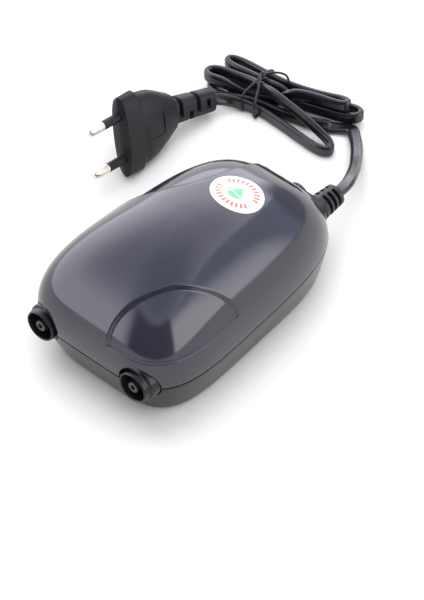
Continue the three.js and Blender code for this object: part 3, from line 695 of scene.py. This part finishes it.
def make_knob():
    """A fluted knob with a dished face and a raised pointer rib."""
    flutes, radius = 18, 5.15
    angles = np.linspace(0, 2 * math.pi, flutes * 12, endpoint=False)
    wave = 0.5 - 0.5 * np.cos(angles * flutes)
    profile = [
        (0.93, KNOB_START, 0.2), (1.0, KNOB_START + 0.35, 1.0), (1.0, KNOB_END - 0.9, 1.0),
        (0.985, KNOB_END - 0.45, 0.8), (0.93, KNOB_END - 0.12, 0.3), (0.86, KNOB_END, 0.0),
        (0.74, KNOB_END, 0.0),
        (0.68, KNOB_END - 0.15, 0.0), (0.64, KNOB_END - 0.5, 0.0), (0.2, KNOB_END - 0.6, 0.0),
    ]
    rings = []
    for share, y, depth in profile:
        r = radius * share - 0.45 * depth * wave
        rings.append(np.stack([r * np.cos(angles), np.full(len(angles), y), KNOB_Z + r * np.sin(angles)], 1))
    points, faces = stack(rings, (0, KNOB_START, KNOB_Z), (0, KNOB_END - 0.6, KNOB_Z))
    piece("airflow_dial", points, faces, KNOB_PLASTIC, "knob", ["airflow_knob"])
    rib = capsule_outline(0.4, 1.9)
    ring = np.array([(x, KNOB_END - 0.62, KNOB_Z + 1.6 + z) for x, z in rib])
    rings = [ring, ring + (0, 0.42, 0)]
    top = ring + (0, 0.54, 0)
    top[:, 0] *= 0.7
    points, faces = capped(rings + [top])
    piece("airflow_dial_pointer", points, faces, WHITE, "knob")


def capsule_outline(radius, half, steps=8):
    """A round-ended bar's outline along its second axis."""
    points = []
    for sign in (1, -1):
        for i in range(steps + 1):
            a = math.pi * i / steps
            points.append((sign * radius * math.cos(a), sign * (half - radius + radius * math.sin(a))))
    return points


# ---------------------------------------------------------------- feet, screws and air filter


def make_underside():
    foot = rounded(
        [(0, 0.35), (3.6, 0.35, 0.3), (3.9, 0.0, 0.3), (5.0, 0.0, 0.5), (5.5, 3.0, 0.1), (0, 3.0)],
        0.3,
    )
    for i, (x, y) in enumerate(FEET):
        points, faces = turned(foot, 48, "Z", (x, y, 0))
        piece(f"foot_pad_{i + 1}", points, faces, RUBBER, PUMP, [f"rubber_foot_{i + 1}"])
    for i, (x, y) in enumerate(SCREWS):
        make_screw(i + 1, x, y)
    make_filter_cover()


def make_screw(number, x, y):
    """A pan-head screw, head down, with a cross recess."""
    profile = rounded(
        [
            (0, 4.2), (1.8, 4.25, 0.8), (2.8, 5.0, 0.5), (2.8, 6.3, 0.1),
            (1.4, 6.3, 0.2), (1.4, 28.5, 0.4), (0, 30),
        ],
        0.2,
    )
    screw = solid(*turned(profile, 40, "Z", (x, y, 0)))
    for a, b in ((1.5, 0.35), (0.35, 1.5)):
        corners = np.array([(x - a, y - b), (x + a, y - b), (x + a, y + b), (x - a, y + b)])
        combine(screw, "DIFFERENCE", solid(*prism(corners, 3, 5.4)))
    name = f"case_fixing_{number}"
    finish_piece(name, taken(screw), ZINC, PUMP, [f"case_screw_{number}"], 35)


def make_filter_cover():
    profile = rounded([(0, FLOOR_Z), (12.7, FLOOR_Z, 0.4), (13, 2.6, 0.3), (13, 3.5), (0, 3.5)], 0.2)
    cover = solid(*turned(profile, 96, "Z", (0, FILTER_Y, 0)))
    for i in range(5):
        x = (i - 2) * 3.6
        half = math.sqrt(9.5**2 - x * x)
        slot = [(x + a, FILTER_Y + b) for a, b in capsule_outline(0.8, half)]
        combine(cover, "DIFFERENCE", solid(*prism(np.array(slot), 0, 9)))
    finish_piece("filter_grille", taken(cover), KNOB_PLASTIC, PUMP, ["air_filter_cover"], 35)


# ---------------------------------------------------------------- label


def label_material():
    """White coated film, with a plain graphic: a ring of small red dashes round a green drop."""
    n = Nodes("label_film")
    split = n.add("ShaderNodeSeparateXYZ")
    n.link(n.add("ShaderNodeUVMap").outputs["UV"], split.inputs["Vector"])
    x, y = split.outputs["X"], split.outputs["Y"]
    x = n.maths("MULTIPLY", n.maths("SUBTRACT", x, 0.5), 2.0)
    y = n.maths("MULTIPLY", n.maths("SUBTRACT", y, 0.5), 2.0)
    angle = n.maths("ARCTAN2", y, x)

    def length(a, b):
        return n.maths("SQRT", n.maths("ADD", n.maths("MULTIPLY", a, a), n.maths("MULTIPLY", b, b)))

    def inside(value, middle, half, soft=0.012):
        away = n.maths("ABSOLUTE", n.maths("SUBTRACT", value, middle))
        return n.ramp(away, 1.0, 0.0, half - soft, half + soft)

    band = inside(length(x, y), 0.70, 0.11)
    dashes = n.ramp(n.maths("SINE", n.maths("MULTIPLY", angle, 26.0)), 0.0, 1.0, -0.25, 0.1)
    gap = n.ramp(n.maths("ABSOLUTE", n.maths("SINE", angle)), 0.0, 1.0, 0.18, 0.2)
    red = n.maths("MULTIPLY", n.maths("MULTIPLY", band, dashes), gap)
    paper = n.mix(red, rgb(0.88, 0.89, 0.88), rgb(0.80, 0.16, 0.12))
    drop_y = n.maths("ADD", y, 0.06)
    narrow = n.ramp(drop_y, 1.0, 3.6, 0.0, 0.42)
    drop_x = n.maths("MULTIPLY", x, narrow)
    drop = n.ramp(length(drop_x, drop_y), 1.0, 0.0, 0.32, 0.34)
    wave = n.maths("MULTIPLY", n.maths("SINE", n.maths("MULTIPLY", x, 14.0)), 0.03)
    stripe = inside(n.maths("ADD", y, wave), -0.12, 0.028)
    green = n.maths("MULTIPLY", drop, n.maths("SUBTRACT", 1.0, stripe))
    n.colour(n.mix(green, paper, rgb(0.16, 0.68, 0.30)))
    n.rough(n.ramp(n.noise(500.0), 0.28, 0.4))
    n.set(Specular_IOR_Level=0.4)
    return n.material


def make_label():
    """A round film that lies on the dome."""
    x0, y0 = LABEL_PLACE
    point = Vector((x0, y0, dome_height(x0, y0)))
    normal = dome_normal(x0, y0)
    turn = Vector((0, 0, 1)).rotation_difference(normal)
    columns, rows = 96, 14
    layers = []
    for lift, radii in ((0.04, np.linspace(0, 1, rows)[1:]), (0.22, np.linspace(1, 0, rows)[:-1])):
        for share in radii:
            ring = []
            edge = LABEL_RADIUS * share - (0.06 if lift > 0.1 and share == 1 else 0)
            for k in range(columns):
                a = 2 * math.pi * k / columns
                flat = point + turn @ Vector((edge * math.cos(a), edge * math.sin(a), 0))
                ring.append(on_dome(flat, normal, lift))
            layers.append(np.array(ring))
    points, faces = stack(layers, on_dome(point, normal, 0.04), on_dome(point, normal, 0.22))
    obj = piece("round_label", points, faces, label_material(), PUMP, ["name_label"], 60)
    uv = obj.data.uv_layers.new(name="UVMap")
    back = turn.inverted()
    for loop in obj.data.loops:
        p = Vector(obj.data.vertices[loop.vertex_index].co) / MM - Vector((0, CENTRING_Y, 0)) - point
        q = back @ p
        uv.data[loop.index].uv = (0.5 + q.x / (2 * LABEL_RADIUS), 0.5 + q.y / (2 * LABEL_RADIUS))


def on_dome(start, normal, lift):
    """The point above the dome by lift, moved from start along the normal."""
    low, high = -8.0, 8.0
    for _ in range(30):
        middle = (low + high) / 2
        p = start + normal * middle
        if p.z < dome_height(p.x, p.y):
            low = middle
        else:
            high = middle
    return start + normal * (low + lift)


# ---------------------------------------------------------------- mains lead

# Points from the pump to the hank.
LEAD_TO_HANK = [
    (11.9, 73.3, 21.2), (11.6, 77.2, 20.9), (10.4, 81.4, 19.8), (8.2, 86.0, 18.0), (5.4, 90.8, 15.5),
    (2.2, 95.8, 12.7), (-1.4, 100.8, 9.8), (-5.2, 105.8, 7.1), (-9.2, 110.8, 4.9), (-13.2, 115.2, 3.4),
    (-17.2, 118.8, 2.7), (-20.4, 121.2, 2.6),
]
# Where the lead enters the hank, and where it leaves it for the plug.
INTO_HANK = [
    (-25.4, 118.8, 1.9), (-30.8, 114.8, 2.3), (-37.0, 111.6, 2.9), (-44.0, 109.4, 3.1), (-52.0, 107.9, 3.1),
]
OUT_OF_HANK = [(-65.0, 101.6, 3.6), (-68.2, 98.8, 4.9), (-70.6, 96.2, 6.0), (-73.1, 93.1, 6.7)]
TIE_X = -61.0
# Each turn of the hank: where it passes the tie going left (y, z), its left fold (x, y, radius, z), where
# it passes the tie going right, the points on the way to its right fold, that fold, and the points back.
TURNS = [
    (
        (106.9, 3.1), (-80.6, 102.9, 4.4, 3.0), (112.5, 3.1), (),
        (-22.6, 127.2, 3.8, 5.7), ((-32.0, 120.2, 5.5), (-39.5, 117.2, 5.6), (-47.0, 115.4, 6.2)),
    ),
    (
        (113.9, 8.7), (-82.4, 112.9, 2.9, 9.3), (117.2, 9.4),
        ((-52.5, 118.0, 9.4), (-46.5, 120.2, 8.8), (-40.0, 122.2, 8.4), (-33.0, 124.9, 8.8)),
        (-26.2, 125.0, 2.9, 10.0),
        ((-33.0, 120.8, 10.7), (-40.0, 118.3, 10.7), (-46.5, 116.2, 10.4), (-52.0, 112.6, 6.8)),
    ),
    (
        (109.7, 3.1), (-83.0, 103.0, 4.2, 8.3), (110.6, 8.9),
        ((-51.0, 110.0, 9.4), (-43.0, 109.2, 9.0), (-36.0, 108.8, 8.3), (-29.0, 108.6, 6.0)),
        (-19.2, 105.2, 3.2, 3.0), (),
    ),
]
LAST_PASS = (104.0, 3.1)
CORD_STEP = 0.8
FLAT_LENGTH = 74.0  # of the lead from the pump, which settle() leaves where it is
CORD_NODES = ["lead_hank", "lead_to_hank", "lead_to_plug"]


def smooth_route(points, step):
    """A centripetal Catmull-Rom curve through points, resampled at even steps."""
    p = np.array(points, float)
    p = np.vstack([2 * p[0] - p[1], p, 2 * p[-1] - p[-2]])
    out = []
    for i in range(1, len(p) - 2):
        knots = [0.0]
        for k in range(3):
            knots.append(knots[-1] + math.sqrt(np.linalg.norm(p[i + k] - p[i + k - 1])))
        for t in np.linspace(knots[1], knots[2], 12, endpoint=False):
            out.append(centripetal(p[i - 1 : i + 3], knots, t))
    out.append(p[-2])
    return resampled(np.array(out), step)


def centripetal(p, k, t):
    a = [((k[i + 1] - t) * p[i] + (t - k[i]) * p[i + 1]) / (k[i + 1] - k[i]) for i in range(3)]
    b = [((k[i + 2] - t) * a[i] + (t - k[i]) * a[i + 1]) / (k[i + 2] - k[i]) for i in range(2)]
    return ((k[2] - t) * b[0] + (t - k[1]) * b[1]) / (k[2] - k[1])


def resampled(line, step):
    along = np.concatenate([[0], np.cumsum(np.linalg.norm(np.diff(line, axis=0), axis=1))])
    count = max(2, int(round(along[-1] / step)) + 1)
    at = np.linspace(0, along[-1], count)
    return np.stack([np.interp(at, along, line[:, k]) for k in range(3)], axis=1)


def fold_points(x, y, radius, z, towards, side):
    """Points round one end of the hank. The run arrives along towards and turns clockwise."""
    heading = math.atan2(*(np.array((x, y)) - towards)[::-1])
    return [
        (x + radius * math.cos(heading + side * a), y + radius * math.sin(heading + side * a), z)
        for a in np.radians((80, 48, 16, -16, -48, -80))
    ]


def hank_points():
    """The turns of the hank, one after the other."""
    points = []
    for (in_y, in_z), left, (out_y, out_z), going, right, coming in TURNS:
        points.append((TIE_X, in_y, in_z))
        points += fold_points(*left, (TIE_X, (in_y + out_y) / 2), 1)
        points.append((TIE_X, out_y, out_z))
        points += list(going)
        points += fold_points(*right, (TIE_X, (in_y + out_y) / 2), 1)
        points += list(coming)
    points.append((TIE_X, *LAST_PASS))
    return points


def settle(line, rounds=120):
    """Pushes strands of the hank apart for a set number of rounds, keeping the line smooth."""
    step = 2.0
    line = resampled(line, step)
    fixed = int(FLAT_LENGTH / step)
    count = len(line)
    index = np.arange(count)
    apart = np.abs(index[:, None] - index[None, :]) * step > 9
    tall = np.where(index < fixed, CORD_THICKNESS, CORD_WIDTH)
    height = (tall[:, None] + tall[None, :]) / 2 + 0.1
    for _ in range(rounds):
        d = line[:, None, :] - line[None, :, :]
        flat = np.hypot(d[..., 0], d[..., 1])
        over_flat = CORD_THICKNESS + 0.15 - flat
        over_up = height - np.abs(d[..., 2])
        hit = apart & (over_flat > 0) & (over_up > 0)
        sideways = hit & (over_flat * 1.6 < over_up)
        upwards = hit & ~sideways
        push = np.zeros_like(line)
        gain = np.where(sideways, 0.22 * over_flat / np.maximum(flat, 0.3), 0.0)
        push[:, :2] += (d[..., :2] * gain[..., None]).sum(1)
        push[:, 2] += (np.where(d[..., 2] >= 0, 1, -1) * np.where(upwards, 0.18 * over_up, 0.0)).sum(1)
        push = np.clip(push, -0.5, 0.5)
        for _ in range(3):
            push[1:-1] = (push[:-2] + push[1:-1] * 2 + push[2:]) / 4
        push[:fixed] = 0
        push[-6:] = 0
        line = line + push
        line[fixed:-8, 2] = np.clip(line[fixed:-8, 2], 2.9, 11.2)
        middle = (line[:-2] + line[2:]) / 2
        line[fixed:-8] += 0.06 * (middle[fixed - 1 : -7] - line[fixed:-8])
    return line


def cord_section():
    """The flat twin lead's section: two round cores side by side with a shallow groove between."""
    points = []
    for i in range(24):
        a = 2 * math.pi * i / 24
        x = CORD_WIDTH / 2 * math.copysign(abs(math.cos(a)) ** 0.8, math.cos(a))
        y = CORD_THICKNESS / 2 * math.copysign(abs(math.sin(a)) ** 0.62, math.sin(a))
        y *= 1 - 0.2 * math.exp(-((x / 0.55) ** 2))
        points.append((x, y))
    return np.array(points)


def make_cord():
    """The whole lead in one sweep. Its width lies flat between the pump and the hank, and stands up in it."""
    start = smooth_route(LEAD_TO_HANK + INTO_HANK + hank_points() + OUT_OF_HANK, CORD_STEP)
    line = smooth_route(settle(start), CORD_STEP)
    count = len(line)
    tangent = np.gradient(line, axis=0)
    tangent /= np.linalg.norm(tangent, axis=1, keepdims=True)
    along = np.arange(count) * CORD_STEP
    flat = np.cross(tangent, (0, 0, 1))
    flat /= np.linalg.norm(flat, axis=1, keepdims=True)
    stand = np.clip((along - 62) / 26, 0, 1)
    stand = stand * stand * (3 - 2 * stand)
    stand *= 1 - 0.55 * np.clip((along - along[-1] + 14) / 12, 0, 1)
    angle = stand * math.pi / 2
    up = np.cross(flat, tangent)
    wide = flat * np.cos(angle)[:, None] + up * np.sin(angle)[:, None]
    thick = np.cross(tangent, wide)
    section = cord_section()
    rings = [line[i] + section[:, :1] * wide[i] + section[:, 1:] * thick[i] for i in range(count)]
    points, faces = capped(rings)
    cord = piece("mains_lead", points, faces, JACKET, PUMP, CORD_NODES, 60)
    return cord, line


def make_tie(line):
    """A wire tie round the hank: two turns that fan out towards the front, a knot on top and a loose tail."""
    near = line[(np.abs(line[:, 0] - TIE_X) < 2.5) & (line[:, 1] > 95)]
    low_y, high_y = near[:, 1].min() - 2.1, near[:, 1].max() + 2.1
    top = near[:, 2].max() + 3.2
    knot_x, knot_y = TIE_X - 1.6, 112.8
    parts = []
    for foot in (TIE_X + 4.4, TIE_X - 2.4):
        parts.append(([
            (knot_x, knot_y - 0.3, top + 0.4), (knot_x + 0.2 * (foot - knot_x), knot_y - 3.2, top),
            (knot_x + 0.55 * (foot - knot_x), knot_y - 6.8, top - 1.2), (foot - 0.6, low_y + 1.4, 8.4),
            (foot, low_y, 5.6), (foot, low_y - 0.1, 2.6), (foot, low_y + 0.9, 0.95),
            (foot - 0.6, low_y + 3.0, 0.75),
            (TIE_X, 110.0, 0.7), (knot_x, high_y - 2.4, 0.8), (knot_x, high_y - 0.2, 1.8),
            (knot_x, high_y + 0.1, 6.0), (knot_x, high_y - 0.4, top - 1.4), (knot_x, high_y - 2.4, top + 0.1),
            (knot_x, knot_y + 0.5, top + 0.5),
        ], 0.55))
    parts.append(([
        (knot_x - 1.0, knot_y - 0.6, top + 0.6), (knot_x + 0.1, knot_y + 0.6, top + 1.5),
        (knot_x + 1.0, knot_y - 0.2, top + 0.9), (knot_x, knot_y - 0.9, top + 0.7),
        (knot_x - 0.7, knot_y + 0.2, top + 1.3), (knot_x + 0.8, knot_y + 0.8, top + 1.1),
    ], 0.55))
    parts.append(([
        (knot_x + 0.8, knot_y + 0.8, top + 1.1), (knot_x + 3.0, knot_y + 2.4, top + 2.0),
        (knot_x + 5.6, knot_y + 4.2, top + 2.3), (knot_x + 8.2, knot_y + 5.2, top + 1.8),
        (knot_x + 10.0, knot_y + 4.8, top + 0.4), (knot_x + 10.4, knot_y + 4.0, top - 0.9),
    ], 0.48))
    points, faces = [], []
    for route, radius in parts:
        part_points, part_faces = swept(smooth_route(route, 0.4), radius, 10)
        base = len(points)
        points += [tuple(p) for p in part_points]
        faces += [tuple(base + i for i in f) for f in part_faces]
    return piece("wire_tie", points, faces, TIE, PUMP, ["twist_tie"], 60)


def swept(line, radius, sides):
    """A round tube along a line, drawn in a little at its ends."""
    tangent = np.gradient(line, axis=0)
    tangent /= np.linalg.norm(tangent, axis=1, keepdims=True)
    side = np.cross(tangent[0], (0.3, 0.2, 0.9))
    rings = []
    a = 2 * math.pi * np.arange(sides) / sides
    for i, (p, t) in enumerate(zip(line, tangent)):
        side = side - t * side.dot(t)
        side /= np.linalg.norm(side)
        other = np.cross(t, side)
        r = radius * (0.6 if i in (0, len(line) - 1) else 1)
        rings.append(p + r * (np.cos(a)[:, None] * side + np.sin(a)[:, None] * other))
    return capped(rings)


def slotted(length, radii, slots, slot_width, depth, squash=1.0, square=2.0, columns=120):
    """A tapered strain relief along +Y. Each slot is (share of the length, [(middle, half) of each web])."""
    angles = np.linspace(0, 2 * math.pi, columns, endpoint=False)
    c, s = np.cos(angles), np.sin(angles)
    outline = (np.abs(c) ** square + np.abs(s) ** square) ** (-1 / square)
    stations = {0.0: 0.0, length: 0.0}
    for share, webs in slots:
        web = np.zeros(columns)
        for middle, half in webs:
            away = np.abs((angles - middle + math.pi) % (2 * math.pi) - math.pi)
            web = np.maximum(web, np.clip((half + 0.05 - away) / 0.1, 0, 1))
        for edge, sink in ((-1.18, 0.0), (-1.0, 0.12), (-0.9, 1.0), (0.9, 1.0), (1.0, 0.12), (1.18, 0.0)):
            stations[share * length + edge * slot_width / 2] = sink * (1 - web)
    for extra in np.linspace(0, length, 9)[1:-1]:
        if all(abs(extra - share * length) > slot_width for share, _ in slots):
            stations[float(extra)] = 0.0
    rings = []
    start, end = radii
    for y in sorted(stations):
        r = (start + (end - start) * y / length) * outline - stations[y] * depth
        rings.append(np.stack([r * c, np.full(columns, y), r * s * squash], 1))
    first, last = rings[0].copy(), rings[-1].copy()
    first[:, [0, 2]] *= 0.94
    last[:, [0, 2]] *= 0.86
    rings[0][:, 1] += 0.25
    rings[-1][:, 1] -= 0.5
    end_face = last.copy()
    end_face[:, [0, 2]] *= 0.8
    return capped([first] + rings + [last, end_face])


def make_lead_relief():
    """The relief at the pump: a shank through the rear panel and four ribs outside it."""
    x, z = LEAD_EXIT
    webs = [(1.72, 0.25), (1.72 + math.pi, 0.3)]
    points, faces = slotted(11.8, (5.6, 4.7), [(share, webs) for share in (0.26, 0.50, 0.74)], 1.35, 2.4)
    points = np.array(points) + (x, REAR_OUTER + GAP, z)
    relief = solid(points, faces)
    shank_end = REAR_OUTER + 1
    shank = [(0, 51.2), (5.2, 51.2), (5.2, 53.6), (3.6, 53.6), (3.6, shank_end), (0, shank_end)]
    combine(relief, "UNION", solid(*turned(shank, 48, "Y", (x, 0, z))))
    finish_piece("lead_relief", taken(relief), RUBBER, PUMP, ["lead_strain_relief"], 35)


# ---------------------------------------------------------------- mains plug

PLUG_FACE = (-76.2, 40.3, 19.0)
PIN_DIRECTION = (0.047, -0.974, 0.221)
WIDE_DIRECTION = (0.314, -0.196, -0.929)
PIN_SPACING = 18.6
PIN_LENGTH = 19.0
SLEEVE_LENGTH = 10.0
PLUG_LENGTH = 31.0
PLUG_RELIEF_END = (-73.5, 92.4, 6.9)


def plug_axes():
    """The plug's own axes, as a turn: across, towards the pins and through."""
    pin = Vector(PIN_DIRECTION).normalized()
    wide = Vector(WIDE_DIRECTION)
    wide = (wide - pin * wide.dot(pin)).normalized()
    return Matrix((wide, pin, wide.cross(pin))).transposed()


def on_plug(points):
    """Plug coordinates (across, towards the pins, through) to the drawing."""
    return np.asarray(points, float) @ np.array(plug_axes()).T + PLUG_FACE


def plug_half_width(back):
    """Half the plug's width this far behind its face: a collar, then a body that narrows."""
    stations = (0, 0.9, 9.3, 9.7, 10.6, 12.5, 15, 18, 21, 24, 27, 29.5, PLUG_LENGTH)
    widths = (16.9, 17.4, 17.5, 16.6, 15.5, 15.5, 15.2, 14.5, 13.3, 11.8, 10.2, 8.9, 8.2)
    return float(np.interp(back, stations, widths))


def plug_half_thickness(back):
    """Half the plug's thickness: the face is a blunt wedge, whose ridge is the moulding's middle plane."""
    stations = (0, 0.9, 9.5, 12.5, 20, 27, PLUG_LENGTH)
    return float(np.interp(back, stations, (0.5, 4.4, 5.3, 6.1, 6.2, 5.8, 5.3)))


def plug_section(back, columns=96):
    """Flat top and bottom, bevelled edges and a raised line at the middle plane."""
    w, t = plug_half_width(back), plug_half_thickness(back)
    points = []
    for i in range(columns):
        a = 2 * math.pi * i / columns
        c, s = math.cos(a), math.sin(a)
        r = (abs(c) ** 1.9 + abs(s) ** 3.2) ** (-1 / 2.5)
        x, z = c * r, s * r
        top = max(abs(x), abs(z))
        x, z = x / max(top, 1.0), z / max(top, 1.0)
        edge = 0.3 * math.exp(-((z * t / 0.4) ** 2)) if abs(c) > 0.7 else 0.0
        points.append((x * w + math.copysign(edge, x), -back, z * t))
    return np.array(points)


def make_plug():
    """The plug's body, with a flared seat at each pin and a sunk rectangle on each flat side."""
    backs = [0.0, 0.3, 0.6, 0.9, 1.4, 3, 5, 7, 8.6, 9.3, 9.5, 9.7, 10.1, 10.6, 11.5, 12.5]
    backs += [*range(14, 29, 2), 29.5, 30.6, PLUG_LENGTH]
    points, faces = capped([plug_section(b) for b in backs])
    body = solid(on_plug(points), faces)
    flare = rounded([(0, -7.0), (4.4, -7.0), (3.6, -1.4, 1.0), (2.7, -0.3, 0.8), (2.5, 0.0), (0, 0.0)], 0.4)
    for side in (-1, 1):
        x = side * PIN_SPACING / 2
        boss, boss_faces = turned(flare, 48, "Y", (x, 0, 0))
        combine(body, "UNION", solid(on_plug(boss), boss_faces))
    for side in (-1, 1):
        corners = np.array([(-6.0, -21.7), (4.8, -21.7), (4.8, -12.7), (-6.0, -12.7)])
        recess, recess_faces = prism(corners, side * 5.65, side * 8.0)
        combine(body, "DIFFERENCE", solid(on_plug(recess), recess_faces))
    finish_piece("plug_shell", taken(body), PLUG_PLASTIC, PUMP, ["plug_body"], 24)
    for i, side in enumerate((-1, 1)):
        make_pin(i + 1, side * PIN_SPACING / 2)
    make_plug_relief()


def make_pin(number, x):
    sleeve = [(1.6, GAP), (2.0, GAP), (1.92, SLEEVE_LENGTH, 0.1), (1.6, SLEEVE_LENGTH)]
    sleeve = rounded(sleeve, 0.08, closed=True)
    tip = PIN_LENGTH
    pin = rounded(
        [
            (0, GAP), (1.3, GAP), (1.3, SLEEVE_LENGTH + 0.25), (1.92, SLEEVE_LENGTH + 0.3, 0.12),
            (2.0, tip - 2.2, 0.6), (1.5, tip - 0.5, 0.5), (0.8, tip - 0.06, 0.3), (0, tip),
        ],
        0.1,
    )
    points, faces = turned(sleeve, 40, "Y", (x, 0, 0))
    name = f"plug_pin_sleeve_{number}"
    piece(f"pin_sleeve_{number}", on_plug(points), faces, PLUG_PLASTIC, PUMP, [name])
    points, faces = turned(pin, 40, "Y", (x, 0, 0))
    piece(f"pin_{number}", on_plug(points), faces, BRIGHT, PUMP, [f"plug_pin_{number}"], 30)


def make_plug_relief():
    """The plug's own relief, which droops a little towards the hank."""
    start = Vector(on_plug([(0, -(PLUG_LENGTH + 0.4), 0)])[0])
    axis = Vector(PLUG_RELIEF_END) - start
    length = axis.length
    axis.normalize()
    thick = plug_axes().col[2]
    side = axis.cross(thick).normalized()
    through = side.cross(axis)
    high = [(math.pi, 1.15)]
    low = [(0.0, 1.8)]
    middle = [(0.0, 1.2), (math.pi, 1.2)]
    slots = [(0.14, high), (0.38, low), (0.56, high), (0.80, middle)]
    points, faces = slotted(length, (5.7, 4.9), slots, 1.9, 2.2, 0.86, 3.0)
    points = np.array(points) @ np.array([side, axis, through]) + np.array(start)
    return piece("plug_relief", points, faces, PLUG_PLASTIC, PUMP, ["plug_strain_relief"])


# ---------------------------------------------------------------- stage, lights and camera


CAMERA_AIM = (0.01163, -0.00293, 0.01627)
CAMERA_AZIMUTH = 42.01
CAMERA_ELEVATION = 45.51
CAMERA_DISTANCE = 1.485
CAMERA_LENS = 227.2


def make_camera():
    azimuth, elevation = math.radians(CAMERA_AZIMUTH), math.radians(CAMERA_ELEVATION)
    back = Vector((
        math.sin(azimuth) * math.cos(elevation),
        -math.cos(azimuth) * math.cos(elevation),
        math.sin(elevation),
    ))
    data = bpy.data.cameras.new("camera")
    data.lens = CAMERA_LENS
    data.sensor_width = 36
    data.clip_end = 20
    camera = linked("camera", data)
    camera.location = Vector(CAMERA_AIM) + back * CAMERA_DISTANCE
    camera.rotation_euler = back.to_track_quat("Z", "Y").to_euler()
    bpy.context.scene.camera = camera


def make_floor():
    n = Nodes("stage_floor")
    n.colour(n.mix(n.noise(3.0), rgb(0.86, 0.86, 0.87), rgb(0.88, 0.88, 0.885)))
    n.set(Roughness=0.9, Specular_IOR_Level=0.1)
    mesh = bpy.data.meshes.new("stage_floor")
    half = 6.0
    corners = [(-half, -half, 0), (half, -half, 0), (half, half, 0), (-half, half, 0)]
    mesh.from_pydata(corners, [], [(0, 1, 2, 3)])
    mesh.materials.append(n.material)
    linked("stage_floor", mesh)


LIGHTS_AIM = (0, 0.03, 0)


def area_light(name, place, size, power):
    """A square light aimed at the pump's middle, which glossy faces don't mirror."""
    data = bpy.data.lights.new(name, "AREA")
    data.size = size
    data.energy = power
    light = linked(name, data)
    light.location = place
    light.rotation_euler = (Vector(place) - Vector(LIGHTS_AIM)).to_track_quat("Z", "Y").to_euler()
    light.visible_glossy = False


SOFTBOX_EDGE = (-0.730, -0.329, 0.599)  # across the softbox's long edge, which the cover mirrors as a line


def make_sky():
    """What glossy faces mirror: a softbox overhead to the left, a window at the right and two dark cards."""
    world = bpy.data.worlds.new("studio")
    bpy.context.scene.world = world
    world.use_nodes = True
    tree = world.node_tree
    background = tree.nodes["Background"]
    direction = tree.nodes.new("ShaderNodeTexCoord").outputs["Generated"]

    def facing(axis, start, end):
        """0 to 1 as the direction's share along an axis goes from start to end."""
        dot = tree.nodes.new("ShaderNodeVectorMath")
        dot.operation = "DOT_PRODUCT"
        dot.inputs[1].default_value = axis
        tree.links.new(direction, dot.inputs[0])
        ramp = tree.nodes.new("ShaderNodeMapRange")
        ramp.interpolation_type = "SMOOTHSTEP"
        tree.links.new(dot.outputs["Value"], ramp.inputs["Value"])
        ramp.inputs["From Min"].default_value = start
        ramp.inputs["From Max"].default_value = end
        return ramp.outputs["Result"]

    def times(a, b):
        node = tree.nodes.new("ShaderNodeMath")
        node.operation = "MULTIPLY"
        tree.links.new(a, node.inputs[0])
        tree.links.new(b, node.inputs[1])
        return node.outputs[0]

    window = facing((1, 0, 0), 0.55, 0.82)
    dim_side = mixed(tree, window, rgb(1.0, 1.04, 1.4), rgb(3.9, 3.9, 4.1))
    overhead = facing((0, 0, 1), 0.50, 1.02)
    softbox = mixed(tree, overhead, rgb(3.2, 3.2, 3.6), rgb(0.75, 0.75, 1.0))
    sky = mixed(tree, facing(SOFTBOX_EDGE, -0.012, 0.012), dim_side, softbox)
    front_card = times(facing((0, -1, 0), 0.08, 0.13), facing((1, 0, 0), -0.42, -0.22))
    front_card = times(front_card, facing((0, 0, -1), -0.90, -0.78))
    sky = mixed(tree, front_card, sky, rgb(0.10, 0.10, 0.12))
    rear_card = times(facing((0, 1, 0), 0.88, 0.95), facing((0, 0, -1), -0.50, -0.30))
    sky = mixed(tree, rear_card, sky, rgb(0.45, 0.46, 0.54))
    world.cycles_visibility.diffuse = False
    tree.links.new(sky, background.inputs["Color"])


def make_lights():
    make_sky()
    area_light("key", (-0.9, 0.5, 1.6), 2.4, 36)
    area_light("fill", (0.9, -0.9, 1.1), 2.4, 29)
    area_light("top", (0.3, 0.4, 1.9), 3.0, 36)
    bpy.context.scene.view_settings.view_transform = "Standard"


# ---------------------------------------------------------------- build

make_camera()
make_floor()
make_lights()
dress_cad_nodes()
cord_piece, cord_line = make_cord()
make_tie(cord_line)
make_lead_relief()
make_plug()
make_cover()
make_bottom_shell()
make_outlets()
make_knob()
make_underside()
make_label()
